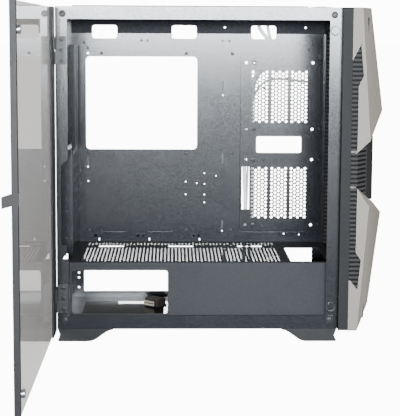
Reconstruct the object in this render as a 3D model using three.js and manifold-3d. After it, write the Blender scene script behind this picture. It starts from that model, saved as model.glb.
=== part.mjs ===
// Desktop computer tower: an empty mid-tower case with a hinged glass side door, standing open.
//
// The case is drawn in its own frame, in millimetres: x runs from the door side (0) to the cable
// side, u runs forwards from the rear edge (so three.js y is -u), and z is height above the
// underside of the steel body. The whole tower is then set down on its feet at z = 0 and centred
// on its own outline. In that row frame +Z is up and the front of the tower looks along -Y.

import * as THREE from 'three';
import { mergeVertices } from 'three/addons/utils/BufferGeometryUtils.js';
import { ConvexGeometry } from 'three/addons/geometries/ConvexGeometry.js';
import Module from 'manifold-3d';

const wasm = await Module();
wasm.setup();

// ---------------------------------------------------------------- driving sizes

const body = { width: 203, depth: 408, height: 466.5 };
const sheet = 1; // folded steel
const gap = 0.3; // left between pieces that touch
const foot = { height: 19.4, length: 81, flat: 46, width: 30, inset: 3 };

const post = { width: 17, rearRight: 24, frontRight: 14.5 };
const rail = { top: 18.2, bottom: 20, bottomRight: 11, endInset: 3, corner: 5 };

const trayDepth = 180; // door side of the body to the motherboard tray
const trayStep = { drop: 38.4, setback: 3 }; // the tray's top strip is joggled away from the door
const shroud = { height: 96.7, inset: 9, rearInset: 17.5 };

const door = { gap: 4.5, thickness: 6.6, glass: 4, margin: 1.5, frontGap: 2.6, openAngle: Math.PI / 2 };
const hinge = { behind: 2, radius: 2.6, pin: 1.2, bore: 1.6, leaf: 41, leafWidth: 15, doorLeaf: 21, upper: 404, lower: 45.5 };
const catchDisc = { radius: 6, fromEnd: 33.3, fromFront: 9.6, thickness: 1.2, stud: 5.2, studLength: 3.8 };

const bezel = { depth: 14, border: 13 };
const flare = 11.1; // how far the front stands proud of the steel on each side

// Standard motherboard and expansion slot spacing, which a change of case size leaves alone.
const board = { columns: [0, 154.94, 227.33], rows: [0, 157.48, 281.94], hole: 1.6 };
const boardCorner = { u: 33.4, drop: 69.7 }; // first mounting hole, from the rear and the top
const slots = { count: 7, pitch: 20.32, cover: 18.4, opening: 12.6, firstDrop: 226.5, screwRise: 6.5 };
const ioAperture = { width: 44.45, height: 158.75, fromTray: 4.4, drop: 57.25, rim: 4 };
const recess = { depth: 17.3, top: 56, ledge: 63, ioWall: 127 };
const fanHole = { spacing: 105, radius: 2.2 };

const top = body.height;
const lap = sheet + gap; // the posts sit just inside the rails
const doorAxis = { x: -(door.gap + hinge.behind + 0.9), y: hinge.behind };

// ---------------------------------------------------------------- finishes

const finish = (color, roughness, metalness) => new THREE.MeshStandardMaterial({ color, roughness, metalness });
const paint = finish(0x5a5d64, 0.55, 0.3);
const screwBlack = finish(0x26272a, 0.4, 0.7);
const zinc = finish(0xb9bcc0, 0.3, 0.9);
const blackPlastic = finish(0x1b1c1e, 0.5, 0);
const greyPlastic = finish(0x47494c, 0.6, 0);
const silverPlastic = finish(0xa9a49b, 0.45, 0.2);
const glass = new THREE.MeshStandardMaterial({ color: 0x9aa0a0, roughness: 0.05, transparent: true, opacity: 0.35 });
const strap = finish(0x202021, 0.8, 0);
const cableBlack = finish(0x141415, 0.6, 0);
const filterMesh = finish(0x2b2c2e, 0.8, 0);

// ---------------------------------------------------------------- outlines and solids

/** Rectangle a0..a1 by b0..b1. Corner radii go round from (a0, b0): one number, or one for each corner. */
function rect(a0, a1, b0, b1, radius = 0) {
  const [r00, r10, r11, r01] = Array.isArray(radius) ? radius : [radius, radius, radius, radius];
  const corners = [[a0, b0, r00, 1, 1], [a1, b0, r10, -1, 1], [a1, b1, r11, -1, -1], [a0, b1, r01, 1, -1]];
  const points = [];
  corners.forEach(([a, b, r, da, db], index) => {
    if (r === 0) {
      points.push([a, b]);
      return;
    }
    const steps = 3;
    for (let i = 0; i <= steps; i += 1) {
      const angle = Math.PI + (index + i / steps) * Math.PI / 2;
      points.push([a + da * r + r * Math.cos(angle), b + db * r + r * Math.sin(angle)]);
    }
  });
  return points;
}

/** Regular polygon standing for a round hole or a disc. */
function disc(a, b, radius, sides = 12) {
  return Array.from({ length: sides }, (_, i) => {
    const angle = (i + 0.5) * 2 * Math.PI / sides;
    return [a + radius * Math.cos(angle), b + radius * Math.sin(angle)];
  });
}

const solidOf = (geometry) => {
  geometry.deleteAttribute('normal');
  geometry.deleteAttribute('uv');
  const merged = mergeVertices(geometry, 1e-4);
  return new wasm.Manifold(new wasm.Mesh({
    numProp: 3,
    vertProperties: new Float32Array(merged.attributes.position.array),
    triVerts: new Uint32Array(merged.index.array),
  }));
};

// An outline is given as (u, z) across x, (x, z) across u, and (x, u) across z.
const planeOf = {
  x: { point: ([u, z]) => new THREE.Vector2(-u, z), basis: [[0, 1, 0], [0, 0, 1], [1, 0, 0]] },
  u: { point: ([x, z]) => new THREE.Vector2(z, x), basis: [[0, 0, 1], [1, 0, 0], [0, 1, 0]] },
  z: { point: ([x, u]) => new THREE.Vector2(x, -u), basis: [[1, 0, 0], [0, 1, 0], [0, 0, 1]] },
};

/** Plate with holes, square to one axis, filling from..to along it. */
function plate(axis, from, to, outline, holes = []) {
  const { point, basis } = planeOf[axis];
  const ring = (points) => {
    const turned = points.map(point);
    return THREE.ShapeUtils.isClockWise(turned) ? turned.reverse() : turned;
  };
  const shape = new THREE.Shape(ring(outline));
  shape.holes = holes.map((hole) => new THREE.Path(ring(hole)));
  const geometry = new THREE.ExtrudeGeometry(shape, { depth: to - from, bevelEnabled: false });
  geometry.translate(0, 0, axis === 'u' ? -to : from);
  const [a, b, c] = basis.map((v) => new THREE.Vector3(...v));
  geometry.applyMatrix4(new THREE.Matrix4().makeBasis(a, b, c));
  return solidOf(geometry);
}

const block = (x0, x1, u0, u1, z0, z1) => plate('x', x0, x1, rect(u0, u1, z0, z1));

/** Round bar along x, centred on (u, z). */
const barX = (u, z, radius, x0, x1, sides = 16) => plate('x', x0, x1, disc(u, z, radius, sides));

/** Upright round bar centred on (x, y), where y is the three.js one. */
const barZ = (x, y, radius, z0, z1, sides = 16) => plate('z', z0, z1, disc(x, -y, radius, sides));

const join = (first, ...others) => others.reduce((sum, next) => sum.add(next), first);
const cut = (first, ...others) => others.reduce((rest, next) => rest.subtract(next), first);

const tower = new THREE.Group();
const steelBody = new THREE.Group();
tower.add(steelBody);

function piece(name, solid, material, parent = steelBody) {
  const { vertProperties, triVerts } = solid.getMesh();
  const geometry = new THREE.BufferGeometry();
  geometry.setAttribute('position', new THREE.BufferAttribute(new Float32Array(vertProperties), 3));
  geometry.setIndex(new THREE.BufferAttribute(new Uint32Array(triVerts), 1));
  geometry.computeVertexNormals();
  const mesh = new THREE.Mesh(geometry, material);
  mesh.name = name;
  parent.add(mesh);
}

// ---------------------------------------------------------------- screw places shared by several pieces

const cornerScrews = [
  ['corner_screw_top_rear', 10.8, top - 10.8],
  ['corner_screw_top_front', body.depth - 11, top - 10.8],
  ['corner_screw_bottom_rear', 10.8, 13],
  ['corner_screw_bottom_front', body.depth - 11, 13],
];
const cornerScrew = { head: 3.9, shank: 1.8, hole: 2.2, headDepth: 0.8, reach: 3 };
const leafScrew = { fromRear: 9.4, spacing: 15.3, head: 3.1, shank: 1.4, hole: 1.7, headDepth: 0.5, reach: 3 };
const leafScrewHeights = (centre) => [-1, 0, 1].map((step) => centre + step * leafScrew.spacing);
const cornerHoles = cornerScrews.map(([, u, z]) => disc(u, z, cornerScrew.hole, 8));
const leafHoles = [hinge.upper, hinge.lower].flatMap((centre) =>
  leafScrewHeights(centre).map((z) => disc(leafScrew.fromRear, z, leafScrew.hole, 8)));

// ---------------------------------------------------------------- top and bottom panels

const ioHousing = { x0: 62, x1: 194, fromFront: 6, length: 28, below: 14, above: 2 };
const ioFront = body.depth - ioHousing.fromFront;
const ioRear = ioFront - ioHousing.length;

function sideRails(z0, z1, z1Right, roundBelow) {
  const u0 = rail.endInset;
  const u1 = body.depth - rail.endInset;
  const r = rail.corner;
  const corners = roundBelow ? [r, r, 0, 0] : [0, 0, r, r];
  const holesAt = (low, high) => cornerScrews.filter(([, , z]) => z > low && z < high)
    .map(([, u, z]) => disc(u, z, cornerScrew.hole, 8));
  const left = plate('x', 0, sheet, rect(u0, u1, z0, z1, corners), holesAt(z0, z1));
  const right = plate('x', body.width - sheet, body.width, rect(u0, u1, z0, z1Right, corners));
  return [left, right];
}

const ioCutOut = rect(ioHousing.x0 - gap, ioHousing.x1 + gap, ioRear - gap, ioFront + gap, 2);
piece('top_panel', join(
  plate('z', top - sheet, top, rect(0, body.width, 0, body.depth, 2), [ioCutOut]),
  ...sideRails(top - rail.top, top - sheet / 2, top - sheet / 2, true),
), paint);

const filterSlot = { inset: 41, drop: 5, lip: 4, length: 158, rear: 2.5 };
const across = (side, x) => (side === 'left' ? x : body.width - x);
function filterRail(side) {
  const { inset, drop, lip } = filterSlot;
  const profile = [
    [inset - sheet, sheet / 2], [inset - sheet, -drop], [inset + lip, -drop], [inset + lip, -drop + sheet],
    [inset, -drop + sheet], [inset, sheet / 2],
  ];
  return plate('u', filterSlot.rear, filterSlot.length, profile.map(([x, z]) => [across(side, x), z]));
}
piece('bottom_panel', join(
  plate('z', 0, sheet, rect(0, body.width, 0, body.depth, 2)),
  ...sideRails(sheet / 2, rail.bottom, rail.bottomRight, false),
  filterRail('left'),
  filterRail('right'),
), paint);

piece('psu_filter', plate('z', -filterSlot.drop + sheet + gap, -gap,
  rect(filterSlot.inset + gap, body.width - filterSlot.inset - gap, -4, filterSlot.length - 4, 3)), filterMesh);

const topFilter = { side: 20, rear: 22, front: 46, thickness: 1.5 };
piece('top_filter', plate('z', top + gap, top + gap + topFilter.thickness,
  rect(topFilter.side, body.width - topFilter.side, topFilter.rear, body.depth - topFilter.front, 6)), filterMesh);

// ---------------------------------------------------------------- rear panel with its recess

const slotCentre = (index) => top - slots.firstDrop - index * slots.pitch;
const slotScrew = (index) => slotCentre(index) + slots.screwRise;
const recessTop = top - recess.top;
const recessBottom = shroud.height + 2.8;
const recessStep = slotCentre(0) + slots.cover / 2 + 2.6;
const recessFar = trayDepth + trayStep.setback + 1.3;

/** Stepped outline of the recess, drawn in by a margin. */
function recessOutline(margin) {
  const right = recessFar - margin;
  return [
    [recess.ledge + margin, recessBottom + margin], [right, recessBottom + margin],
    [right, recessTop - margin], [recess.ioWall + margin, recessTop - margin],
    [recess.ioWall + margin, recessStep - margin], [recess.ledge + margin, recessStep - margin],
  ];
}

function postNotch() {
  const low = recessBottom + 4;
  const high = recessStep - 2;
  const depth = post.width + 1;
  const start = 6.5;
  return plate('x', 0, lap + sheet + 1,
    [[start, low], [depth, low], [depth, high], [start, high - (depth - start)]]);
}

const zLow = sheet + gap;
const zHigh = top - sheet - gap;
const apertureFar = trayDepth - ioAperture.fromTray;
const aperture = rect(apertureFar - ioAperture.width, apertureFar,
  top - ioAperture.drop - ioAperture.height, top - ioAperture.drop);
const apertureRim = rect(apertureFar - ioAperture.width - sheet, apertureFar + sheet,
  top - ioAperture.drop - ioAperture.height - sheet, top - ioAperture.drop + sheet);
const slotOpenings = Array.from({ length: slots.count }, (_, i) => rect(
  recess.ledge + 4, trayDepth - 7, slotCentre(i) - slots.opening / 2, slotCentre(i) + slots.opening / 2));
const psuOpening = rect(29, body.width - 29, 8, shroud.height - 10, 4);

const recessShell = cut(
  plate('u', 0, recess.depth, recessOutline(0)),
  plate('u', -1, recess.depth - sheet, recessOutline(sheet)),
  ...[aperture, ...slotOpenings].map((opening) => plate('u', recess.depth - 2 * sheet, recess.depth + 1, opening)),
);
const thumbScrew = { u: 13.5, z: recessStep + 8, hole: 2.1, shank: 1.6, head: 4.2, headLength: 8.5 };
piece('rear_panel', cut(
  join(
    cut(
      plate('u', 0, sheet, rect(lap, body.width - lap, zLow, zHigh), [psuOpening]),
      plate('u', -1, sheet + 1, recessOutline(0.01)),
    ),
    recessShell,
    plate('u', recess.depth - sheet, recess.depth + ioAperture.rim, apertureRim, [aperture]),
    plate('x', recess.ledge, recess.ledge + sheet, rect(0, recess.depth, recessStep - 1, thumbScrew.z + 7)),
    plate('x', lap, lap + sheet, rect(0, post.width, zLow, zHigh), [
      ...cornerHoles.filter((_, i) => cornerScrews[i][1] < body.depth / 2), ...leafHoles]),
    plate('x', body.width - lap - sheet, body.width - lap, rect(0, post.rearRight, zLow, zHigh)),
  ),
  postNotch(),
  barX(thumbScrew.u, thumbScrew.z, thumbScrew.hole, recess.ledge - 1, recess.ledge + 2, 8),
), paint);

// ---------------------------------------------------------------- slot covers and the plate that holds them

const coverFace = recess.depth + gap;
for (let i = 0; i < slots.count; i += 1) {
  const low = slotCentre(i) - slots.cover / 2;
  const high = slotCentre(i) + slots.cover / 2;
  const tabEdge = recess.ledge - gap;
  piece(`slot_cover_${i + 1}`, join(
    plate('u', coverFace, coverFace + sheet, rect(tabEdge - sheet, trayDepth - 1.6, low, high, 1)),
    plate('x', tabEdge - sheet, tabEdge, rect(5, coverFace + sheet, low, high),
      [disc(11, slotScrew(i), 1.7, 8)]),
  ), paint);
}

const retainerFace = recess.ledge - 2 * gap - sheet;
const retainerOutline = [
  [2.5, recessBottom + 2], [16, recessBottom + 2], [18, recessBottom + 4], [18, thumbScrew.z + 5],
  [9, thumbScrew.z + 5], [9, recessStep - 1], [2.5, recessStep - 8],
];
piece('slot_retainer', plate('x', retainerFace - sheet, retainerFace, retainerOutline, [
  disc(thumbScrew.u, thumbScrew.z, thumbScrew.hole, 8),
  ...slotOpenings.map((_, i) => disc(11, slotScrew(i), 2.4, 10)),
]), paint);
piece('slot_thumbscrew', join(
  barX(thumbScrew.u, thumbScrew.z, thumbScrew.head, retainerFace - sheet - gap - thumbScrew.headLength,
    retainerFace - sheet - gap, 18),
  barX(thumbScrew.u, thumbScrew.z, thumbScrew.shank, retainerFace - sheet - 1, recess.ledge + 5, 10),
), zinc);

// ---------------------------------------------------------------- front steel, tray, shroud and fan plate

piece('front_frame', join(
  plate('u', body.depth - sheet, body.depth, rect(lap, body.width - lap, zLow, zHigh),
    [rect(34, body.width - 34, 40, top - 34, 8)]),
  plate('x', lap, lap + sheet, rect(body.depth - post.width, body.depth, zLow, zHigh),
    cornerHoles.filter((_, i) => cornerScrews[i][1] > body.depth / 2)),
  plate('x', body.width - lap - sheet, body.width - lap,
    rect(body.depth - post.frontRight, body.depth, zLow, zHigh)),
), paint);

const trayRear = recess.depth + gap;
const trayRearHigh = 7.2;
const trayFront = body.depth - sheet - gap;
const stepZ = top - trayStep.drop;
const trayBottom = shroud.height + gap;
const boardHoles = board.rows.flatMap((dz) => board.columns.map((du) =>
  disc(boardCorner.u + du, top - boardCorner.drop - dz, board.hole, 8)));
const cableCutOuts = [59.8, 184.8, body.depth - 97.8].map((u) => rect(u - 19.5, u + 19.5, stepZ - 8, stepZ + 12.7, 4));
const cpuCutOut = rect(30.2, 205.4, top - 221.3, top - 74.7, 6);

const fanPlate = { rear: 133.5, front: 10.4, top: 73.3, bottom: 352.5, stand: 5, lip: 4.4 };
const fanPlateBox = {
  u0: body.depth - fanPlate.rear, u1: body.depth - fanPlate.front,
  z0: top - fanPlate.bottom, z1: top - fanPlate.top,
};
const trayOpening = rect(fanPlateBox.u0 + 2.4, fanPlateBox.u1 - 9.6, fanPlateBox.z0 + 10, fanPlateBox.z1 - 10, 6);
const trayOutline = [
  [trayRear, trayBottom], [trayFront, trayBottom], [trayFront, stepZ], [trayRearHigh, stepZ],
  [trayRearHigh, recessTop + gap], [trayRear, recessTop + gap],
];
const ioNotch = block(trayDepth - 1, trayDepth + 10, ioRear - 3, body.depth, top - ioHousing.below - 1.5, top + 1);
const strip = trayDepth + trayStep.setback;
piece('motherboard_tray', cut(
  join(
    plate('x', trayDepth, trayDepth + sheet, trayOutline),
    plate('x', trayDepth, strip + sheet, rect(trayRearHigh, trayFront, stepZ - sheet, stepZ)),
    plate('x', strip, strip + sheet, rect(trayRearHigh, trayFront, stepZ - sheet, zHigh)),
  ),
  ...[cpuCutOut, trayOpening, ...boardHoles].map((hole) => plate('x', trayDepth - 1, trayDepth + sheet + 1, hole)),
  ...cableCutOuts.map((outline) => plate('x', trayDepth - 1, strip + 2, outline)),
  ioNotch,
), paint);

const fanLow = fanPlateBox.z0 + 10.7;
const fanHigh = fanPlateBox.z1 - 10.1;
const fanColumns = [fanPlateBox.u0 + 8.4, fanPlateBox.u0 + 8.4 + fanHole.spacing];
const fanRows = [fanLow, fanLow + fanHole.spacing, fanHigh - fanHole.spacing, fanHigh];
const fanPlateX = trayDepth - fanPlate.stand;
const cableSlot = rect(fanPlateBox.u0 + 2.5, fanPlateBox.u0 + 14.5, fanLow + 24.8, fanRows[1] - 11.2, 1.5);
const plateWindow = rect(fanPlateBox.u0 + 25.2, fanPlateBox.u1 - 26.5, fanRows[1] + 10.9, fanRows[2] - 11.5, 3);
const plateEdge = rect(fanPlateBox.u0, fanPlateBox.u1, fanPlateBox.z0, fanPlateBox.z1, 5);
const plateEdgeInner = rect(fanPlateBox.u0 + sheet, fanPlateBox.u1 - sheet,
  fanPlateBox.z0 + sheet, fanPlateBox.z1 - sheet, 4);
piece('side_fan_plate', join(
  plate('x', fanPlateX, fanPlateX + sheet, plateEdge, [
    cableSlot, plateWindow,
    ...fanColumns.flatMap((u) => fanRows.map((z) => disc(u, z, fanHole.radius, 8))),
  ]),
  plate('x', fanPlateX, fanPlateX + fanPlate.lip, plateEdge, [plateEdgeInner]),
), paint);

const psuWindow = rect(20.8, 160.3, 20.7, shroud.height - 11.7, 4);
const passThroughs = [71.5, 180, 288].map((u) => rect(trayDepth - 46, trayDepth - 34, u - 19.5, u + 19.5, 2));
const radiatorGap = rect(shroud.inset + 10, trayDepth - 52, body.depth - 67, body.depth - 13, 3);
piece('psu_shroud', join(
  plate('z', shroud.height - sheet, shroud.height,
    rect(shroud.inset, trayDepth - gap, shroud.rearInset, trayFront), [...passThroughs, radiatorGap]),
  plate('x', shroud.inset, shroud.inset + sheet,
    rect(shroud.rearInset, trayFront, sheet + gap, shroud.height), [psuWindow]),
), paint);

// ---------------------------------------------------------------- feet and fasteners

/** Side outline of a foot: a notched heel at one end and an S-curve at the other, mirrored at the front. */
function footOutline() {
  const { height, length, flat } = foot;
  const points = [[length, -gap], [0, -gap], [3.7, -height * 0.56], [0, -height + 1.6], [1.6, -height]];
  const steps = 6;
  for (let i = 0; i <= steps; i += 1) {
    const t = i / steps;
    points.push([flat + (length - flat) * t, -height + (height - 1.8) * t * t * (3 - 2 * t)]);
  }
  return points;
}
const rearFoot = footOutline();
const frontFoot = rearFoot.map(([u, z]) => [body.depth - u, z]);
const footSides = [['left', foot.inset], ['right', body.width - foot.inset - foot.width]];
for (const [side, x] of footSides) {
  piece(`foot_rear_${side}`, plate('x', x, x + foot.width, rearFoot), blackPlastic);
  piece(`foot_front_${side}`, plate('x', x, x + foot.width, frontFoot), blackPlastic);
}

/** Screw driven in from the door side: a flat head on the face at x, and a shank. */
function sideScrew(name, size, u, z, face) {
  piece(name, join(
    barX(u, z, size.head, face - size.headDepth, face - gap),
    barX(u, z, size.shank, face - gap - 0.1, face + size.reach, 10),
  ), screwBlack);
}
for (const [name, u, z] of cornerScrews) {
  sideScrew(name, cornerScrew, u, z, 0);
}

const catchHeights = { lower: catchDisc.fromEnd, upper: top - catchDisc.fromEnd };
const catchFromRear = body.depth - catchDisc.fromFront;
for (const [level, z] of Object.entries(catchHeights)) {
  piece(`catch_magnet_${level}`,
    barX(catchFromRear, z, catchDisc.radius, sheet - catchDisc.thickness, sheet, 24), zinc);
}

// ---------------------------------------------------------------- lift-off hinges: leaf, knuckle and pin on the case

const hingeLevels = [['upper', hinge.upper], ['lower', hinge.lower]];
const leafFace = -gap;
const knuckleSplit = (centre) => centre - 0.2;
for (const [level, centre] of hingeLevels) {
  const low = centre - hinge.leaf / 2;
  const split = knuckleSplit(centre) - gap;
  const holes = leafScrewHeights(centre).map((z) => disc(leafScrew.fromRear, z, leafScrew.hole, 8));
  piece(`case_hinge_${level}`, join(
    plate('x', leafFace, sheet, rect(1, 1 + hinge.leafWidth, low, low + hinge.leaf, 1), holes),
    block(doorAxis.x, sheet, -0.4, 1.6, low + 1, split - 1),
    barZ(doorAxis.x, doorAxis.y, hinge.radius, low, split),
    barZ(doorAxis.x, doorAxis.y, hinge.pin, split - 1, low + hinge.leaf - 3, 12),
  ), blackPlastic);
  leafScrewHeights(centre).forEach((z, i) => {
    sideScrew(`hinge_screw_${level}_${i + 1}`, leafScrew, leafScrew.fromRear, z, leafFace);
  });
}

// ---------------------------------------------------------------- the door, drawn closed and swung open about its pins

const hingeLine = new THREE.Group();
hingeLine.position.set(doorAxis.x, doorAxis.y, 0);
hingeLine.rotation.z = -door.openAngle;
const doorLeaf = new THREE.Group();
doorLeaf.position.set(-doorAxis.x, -doorAxis.y, 0);
hingeLine.add(doorLeaf);
steelBody.add(hingeLine);

const doorIn = -door.gap;
const doorOut = doorIn - door.thickness;
const doorRear = 2.2;
const doorFront = body.depth - door.frontGap;
const doorLow = door.margin;
const doorHigh = top - door.margin;
const edgeBar = { width: 8, groove: 4.5 };
const hingeStrip = { width: 47 };

piece('door_glass', plate('x', doorOut, doorOut + door.glass,
  rect(doorRear, doorFront - edgeBar.width + edgeBar.groove - gap, doorLow + 0.5, doorHigh - 0.5, 2)), glass, doorLeaf);
piece('door_edge_bar', cut(
  block(doorOut - 0.6, doorIn, doorFront - edgeBar.width, doorFront, doorLow, doorHigh),
  block(doorOut - gap, doorOut + door.glass + gap, doorFront - edgeBar.width - 1,
    doorFront - edgeBar.width + edgeBar.groove, doorLow - 1, doorHigh + 1),
), blackPlastic, doorLeaf);
piece('door_hinge_strip', plate('x', doorOut + door.glass + gap, doorIn,
  rect(doorRear, doorRear + hingeStrip.width, doorLow, doorHigh, 2)), blackPlastic, doorLeaf);

for (const [level, centre] of hingeLevels) {
  const low = knuckleSplit(centre);
  const high = centre + hinge.leaf / 2;
  const armFace = doorIn + gap + 1.2;
  piece(`door_hinge_${level}`, join(
    cut(
      join(
        barZ(doorAxis.x, doorAxis.y, hinge.radius, low, high),
        block(doorAxis.x, armFace, -1.2, 1.6, low + 1, high - 1),
      ),
      barZ(doorAxis.x, doorAxis.y, hinge.bore, low - 1, high - 2, 12),
    ),
    block(doorIn + gap, armFace, 1.2, doorRear + hinge.doorLeaf, low + 1, high - 1),
  ), blackPlastic, doorLeaf);
}
for (const [level, z] of Object.entries(catchHeights)) {
  piece(`door_stud_${level}`,
    barX(catchFromRear - 2, z, catchDisc.stud, doorIn + gap, doorIn + gap + catchDisc.studLength, 20), zinc, doorLeaf);
}

const tab = { z: 250.5, height: 14, reach: 11.4, drop: 4, thickness: 1.2, wrap: 7 };
const tabFace = doorFront + gap;
piece('pull_tab', join(
  plate('u', tabFace, tabFace + tab.thickness, [
    [doorIn + gap + tab.thickness, tab.z - tab.height / 2], [doorIn + gap + tab.thickness, tab.z + tab.height / 2],
    [doorOut, tab.z + tab.height / 2], [doorOut - tab.reach, tab.z + tab.height / 2 - tab.drop],
    [doorOut - tab.reach, tab.z - tab.height / 2 - tab.drop + 1], [doorOut, tab.z - tab.height / 2],
  ]),
  block(doorIn + gap, doorIn + gap + tab.thickness, doorFront - tab.wrap, tabFace + tab.thickness,
    tab.z - tab.height / 2, tab.z + tab.height / 2),
), strap, doorLeaf);

// ---------------------------------------------------------------- front: bezel frame, core, spine and four wings

const bezelFront = body.depth + bezel.depth;
const sideLeft = -flare;
piece('bezel_frame', plate('u', body.depth + gap, bezelFront,
  rect(sideLeft, body.width + flare, 0, top, 2), [rect(bezel.border, body.width - bezel.border, 18, top - 18, 4)]), greyPlastic);

// Points are [x, ahead of the bezel frame, z]. A positive inset t draws the hull in, and back is where it starts.
const upperWing = (t, back) => [
  [sideLeft + t, back, top - t], [sideLeft + t, 13.2 - 1.4 * t, top - t], [30, 32.2 - 1.4 * t, top - t],
  [60, 32.2 - 1.4 * t, top - t], [58, 56.4 - 1.5 * t, top - 149.1],
  [78, 39.4 - 1.5 * t, top - 160], [sideLeft + t, back, top - 212.3 + t], [sideLeft + t, 11.5, top - 204.3 + t],
  [sideLeft + t, 27.6 - 1.4 * t, top - 189.5 + t], [30, 38.7 - 1.4 * t, top - 182.9 + t], [78, back, top - 182.9 + t],
  [60, back, top - t],
];
const lowerWing = (t, back) => [
  [sideLeft + t, back, t], [sideLeft + t, 13 - 1.4 * t, t], [28, 23.5 - 1.4 * t, t], [30, 35 - 1.4 * t, 33],
  [56, 56 - 1.5 * t, 164.8], [60, 24 - 1.4 * t, t], [78, 39.4 - 1.5 * t, 155],
  [sideLeft + t, back, 216 - t], [sideLeft + t, 10.3, 208 - t], [sideLeft + t, 27.2 - 1.4 * t, 182 - t],
  [30, 38.7 - 1.4 * t, 184.6 - t], [78, back, 184.6 - t], [60, back, t],
];
function wingHull(points) {
  return solidOf(new ConvexGeometry(points.map(([x, ahead, z]) => new THREE.Vector3(x, -bezelFront - ahead, z))));
}

const ahead = (points) => points.map(([u, z]) => [bezelFront + u, z]);
const upperVent = (t) => ahead([
  [-1, top - 73.1 - t], [1, top - 73.1 - t], [12 - t / 3, top - 50.8 - 2 * t], [16.5 - t, top - 97.1],
  [9.6 - t, top - 111.2], [9.3 - t, top - 202.3], [3.9, top - 212.3 + t], [-1, top - 212.3 + t],
]);
const lowerVent = (t) => ahead([
  [-1, 216.7 - t], [4.5, 216.7 - t], [10.3 - t, 208], [9.6 - t, 115.8], [17.3 - t, 103.9], [13.1 - t / 3, 60.3 + 2 * t],
  [2.2, 74.1 + t], [-1, 74.1 + t],
]);

const spine = { side: 10, shoulder: 30, back: 24, edge: 26, face: 29.6, waistFace: 38.4, low: 14, high: top - 14 };
const waistBox = { low: 188, high: top - 186 };
const spineOutline = (face, t) => [
  [spine.side - t, bezelFront + spine.back - 30 * t], [spine.side - t, bezelFront + spine.edge],
  [spine.shoulder - t, bezelFront + face + t], [body.width - spine.shoulder + t, bezelFront + face + t],
  [body.width - spine.side + t, bezelFront + spine.edge], [body.width - spine.side + t, bezelFront + spine.back - 30 * t],
];
const spineSolid = (t) => join(
  plate('z', spine.low - t, spine.high + t, spineOutline(spine.face, t)),
  plate('z', waistBox.low - t, waistBox.high + t, spineOutline(spine.waistFace, t)),
);
const spineRoom = spineSolid(2 * gap);
piece('front_spine', spineSolid(0), greyPlastic);

const wingWall = 3;
const mirrored = (solid) => solid.mirror([1, 0, 0]).translate([body.width, 0, 0]);
const wings = [
  ['upper', wingHull(upperWing(0, gap)), wingHull(upperWing(wingWall, -bezel.depth)), upperVent(0)],
  ['lower', wingHull(lowerWing(0, gap)), wingHull(lowerWing(wingWall, -bezel.depth)), lowerVent(0)],
];
for (const [level, outer, inner, vent] of wings) {
  const shell = cut(outer, inner, spineRoom, plate('x', sideLeft - 1, sideLeft + wingWall + 2, vent));
  piece(`${level}_wing_left`, shell, silverPlastic);
  piece(`${level}_wing_right`, mirrored(shell), silverPlastic);
}

// The core is a dark frame behind the wings. Its slats fill the side vents, and its cheeks the waist between the wings.
const louvre = { pitch: 6.4, thickness: 3.2, inset: 0.6 };
const core = { side: sideLeft + wingWall + 0.5, border: 34, bracket: 2, inner: 22 };
const slatZone = (vent) => plate('x', sideLeft + louvre.inset, core.side + 1, vent);
const slats = [];
for (let z = 58; z < top - 50; z += louvre.pitch) {
  slats.push(block(sideLeft + louvre.inset, core.side + 1, bezelFront + gap, bezelFront + 18, z, z + louvre.thickness));
}
const ventBacks = join(
  plate('x', core.side, core.side + 2, upperVent(gap))
    .intersect(wingHull(upperWing(wingWall + gap, -bezel.depth))),
  plate('x', core.side, core.side + 2, lowerVent(gap))
    .intersect(wingHull(lowerWing(wingWall + gap, -bezel.depth))),
);
const comb = join(
  ...slats.map((slat) => slat.intersect(slatZone(upperVent(2 * gap)))),
  ...slats.map((slat) => slat.intersect(slatZone(lowerVent(2 * gap)))),
);
const waist = cut(
  plate('z', 190, top - 176.5, [
    [sideLeft + louvre.inset, bezelFront + gap], [sideLeft + louvre.inset, bezelFront + 10],
    [spine.side - 1, bezelFront + spine.edge - 1], [spine.side - 1, bezelFront + gap],
  ]),
  wingHull(upperWing(-gap, 0)), wingHull(lowerWing(-gap, 0)), spineRoom,
);
const behindBezel = block(-50, body.width + 50, 0, bezelFront + gap, -50, top + 50);
const cheek = cut(join(ventBacks, comb, waist), behindBezel);
// Brackets hold the cheeks: each reaches forwards out of the bezel opening, between the walls of the wings.
const brackets = [[45, 165], [219, top - 215.5], [top - 165, top - 45]].flatMap(([low, high]) => [
  block(bezel.border + 1, core.inner, body.depth + 4, bezelFront + gap + core.bracket, low, high),
  block(core.side + 1, core.inner, bezelFront + gap, bezelFront + gap + core.bracket, low, high),
]);
const side = join(cheek, ...brackets);
const ringEdge = bezel.border + gap;
const coreRing = plate('u', body.depth + gap, bezelFront - gap,
  rect(ringEdge, body.width - ringEdge, 18 + gap, top - 18 - gap, 4),
  [rect(core.border, body.width - core.border, 40, top - 40, 8)]);
piece('front_core', join(coreRing, side, mirrored(side)), blackPlastic);

// ---------------------------------------------------------------- top control housing: buttons, sockets and jacks

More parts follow.
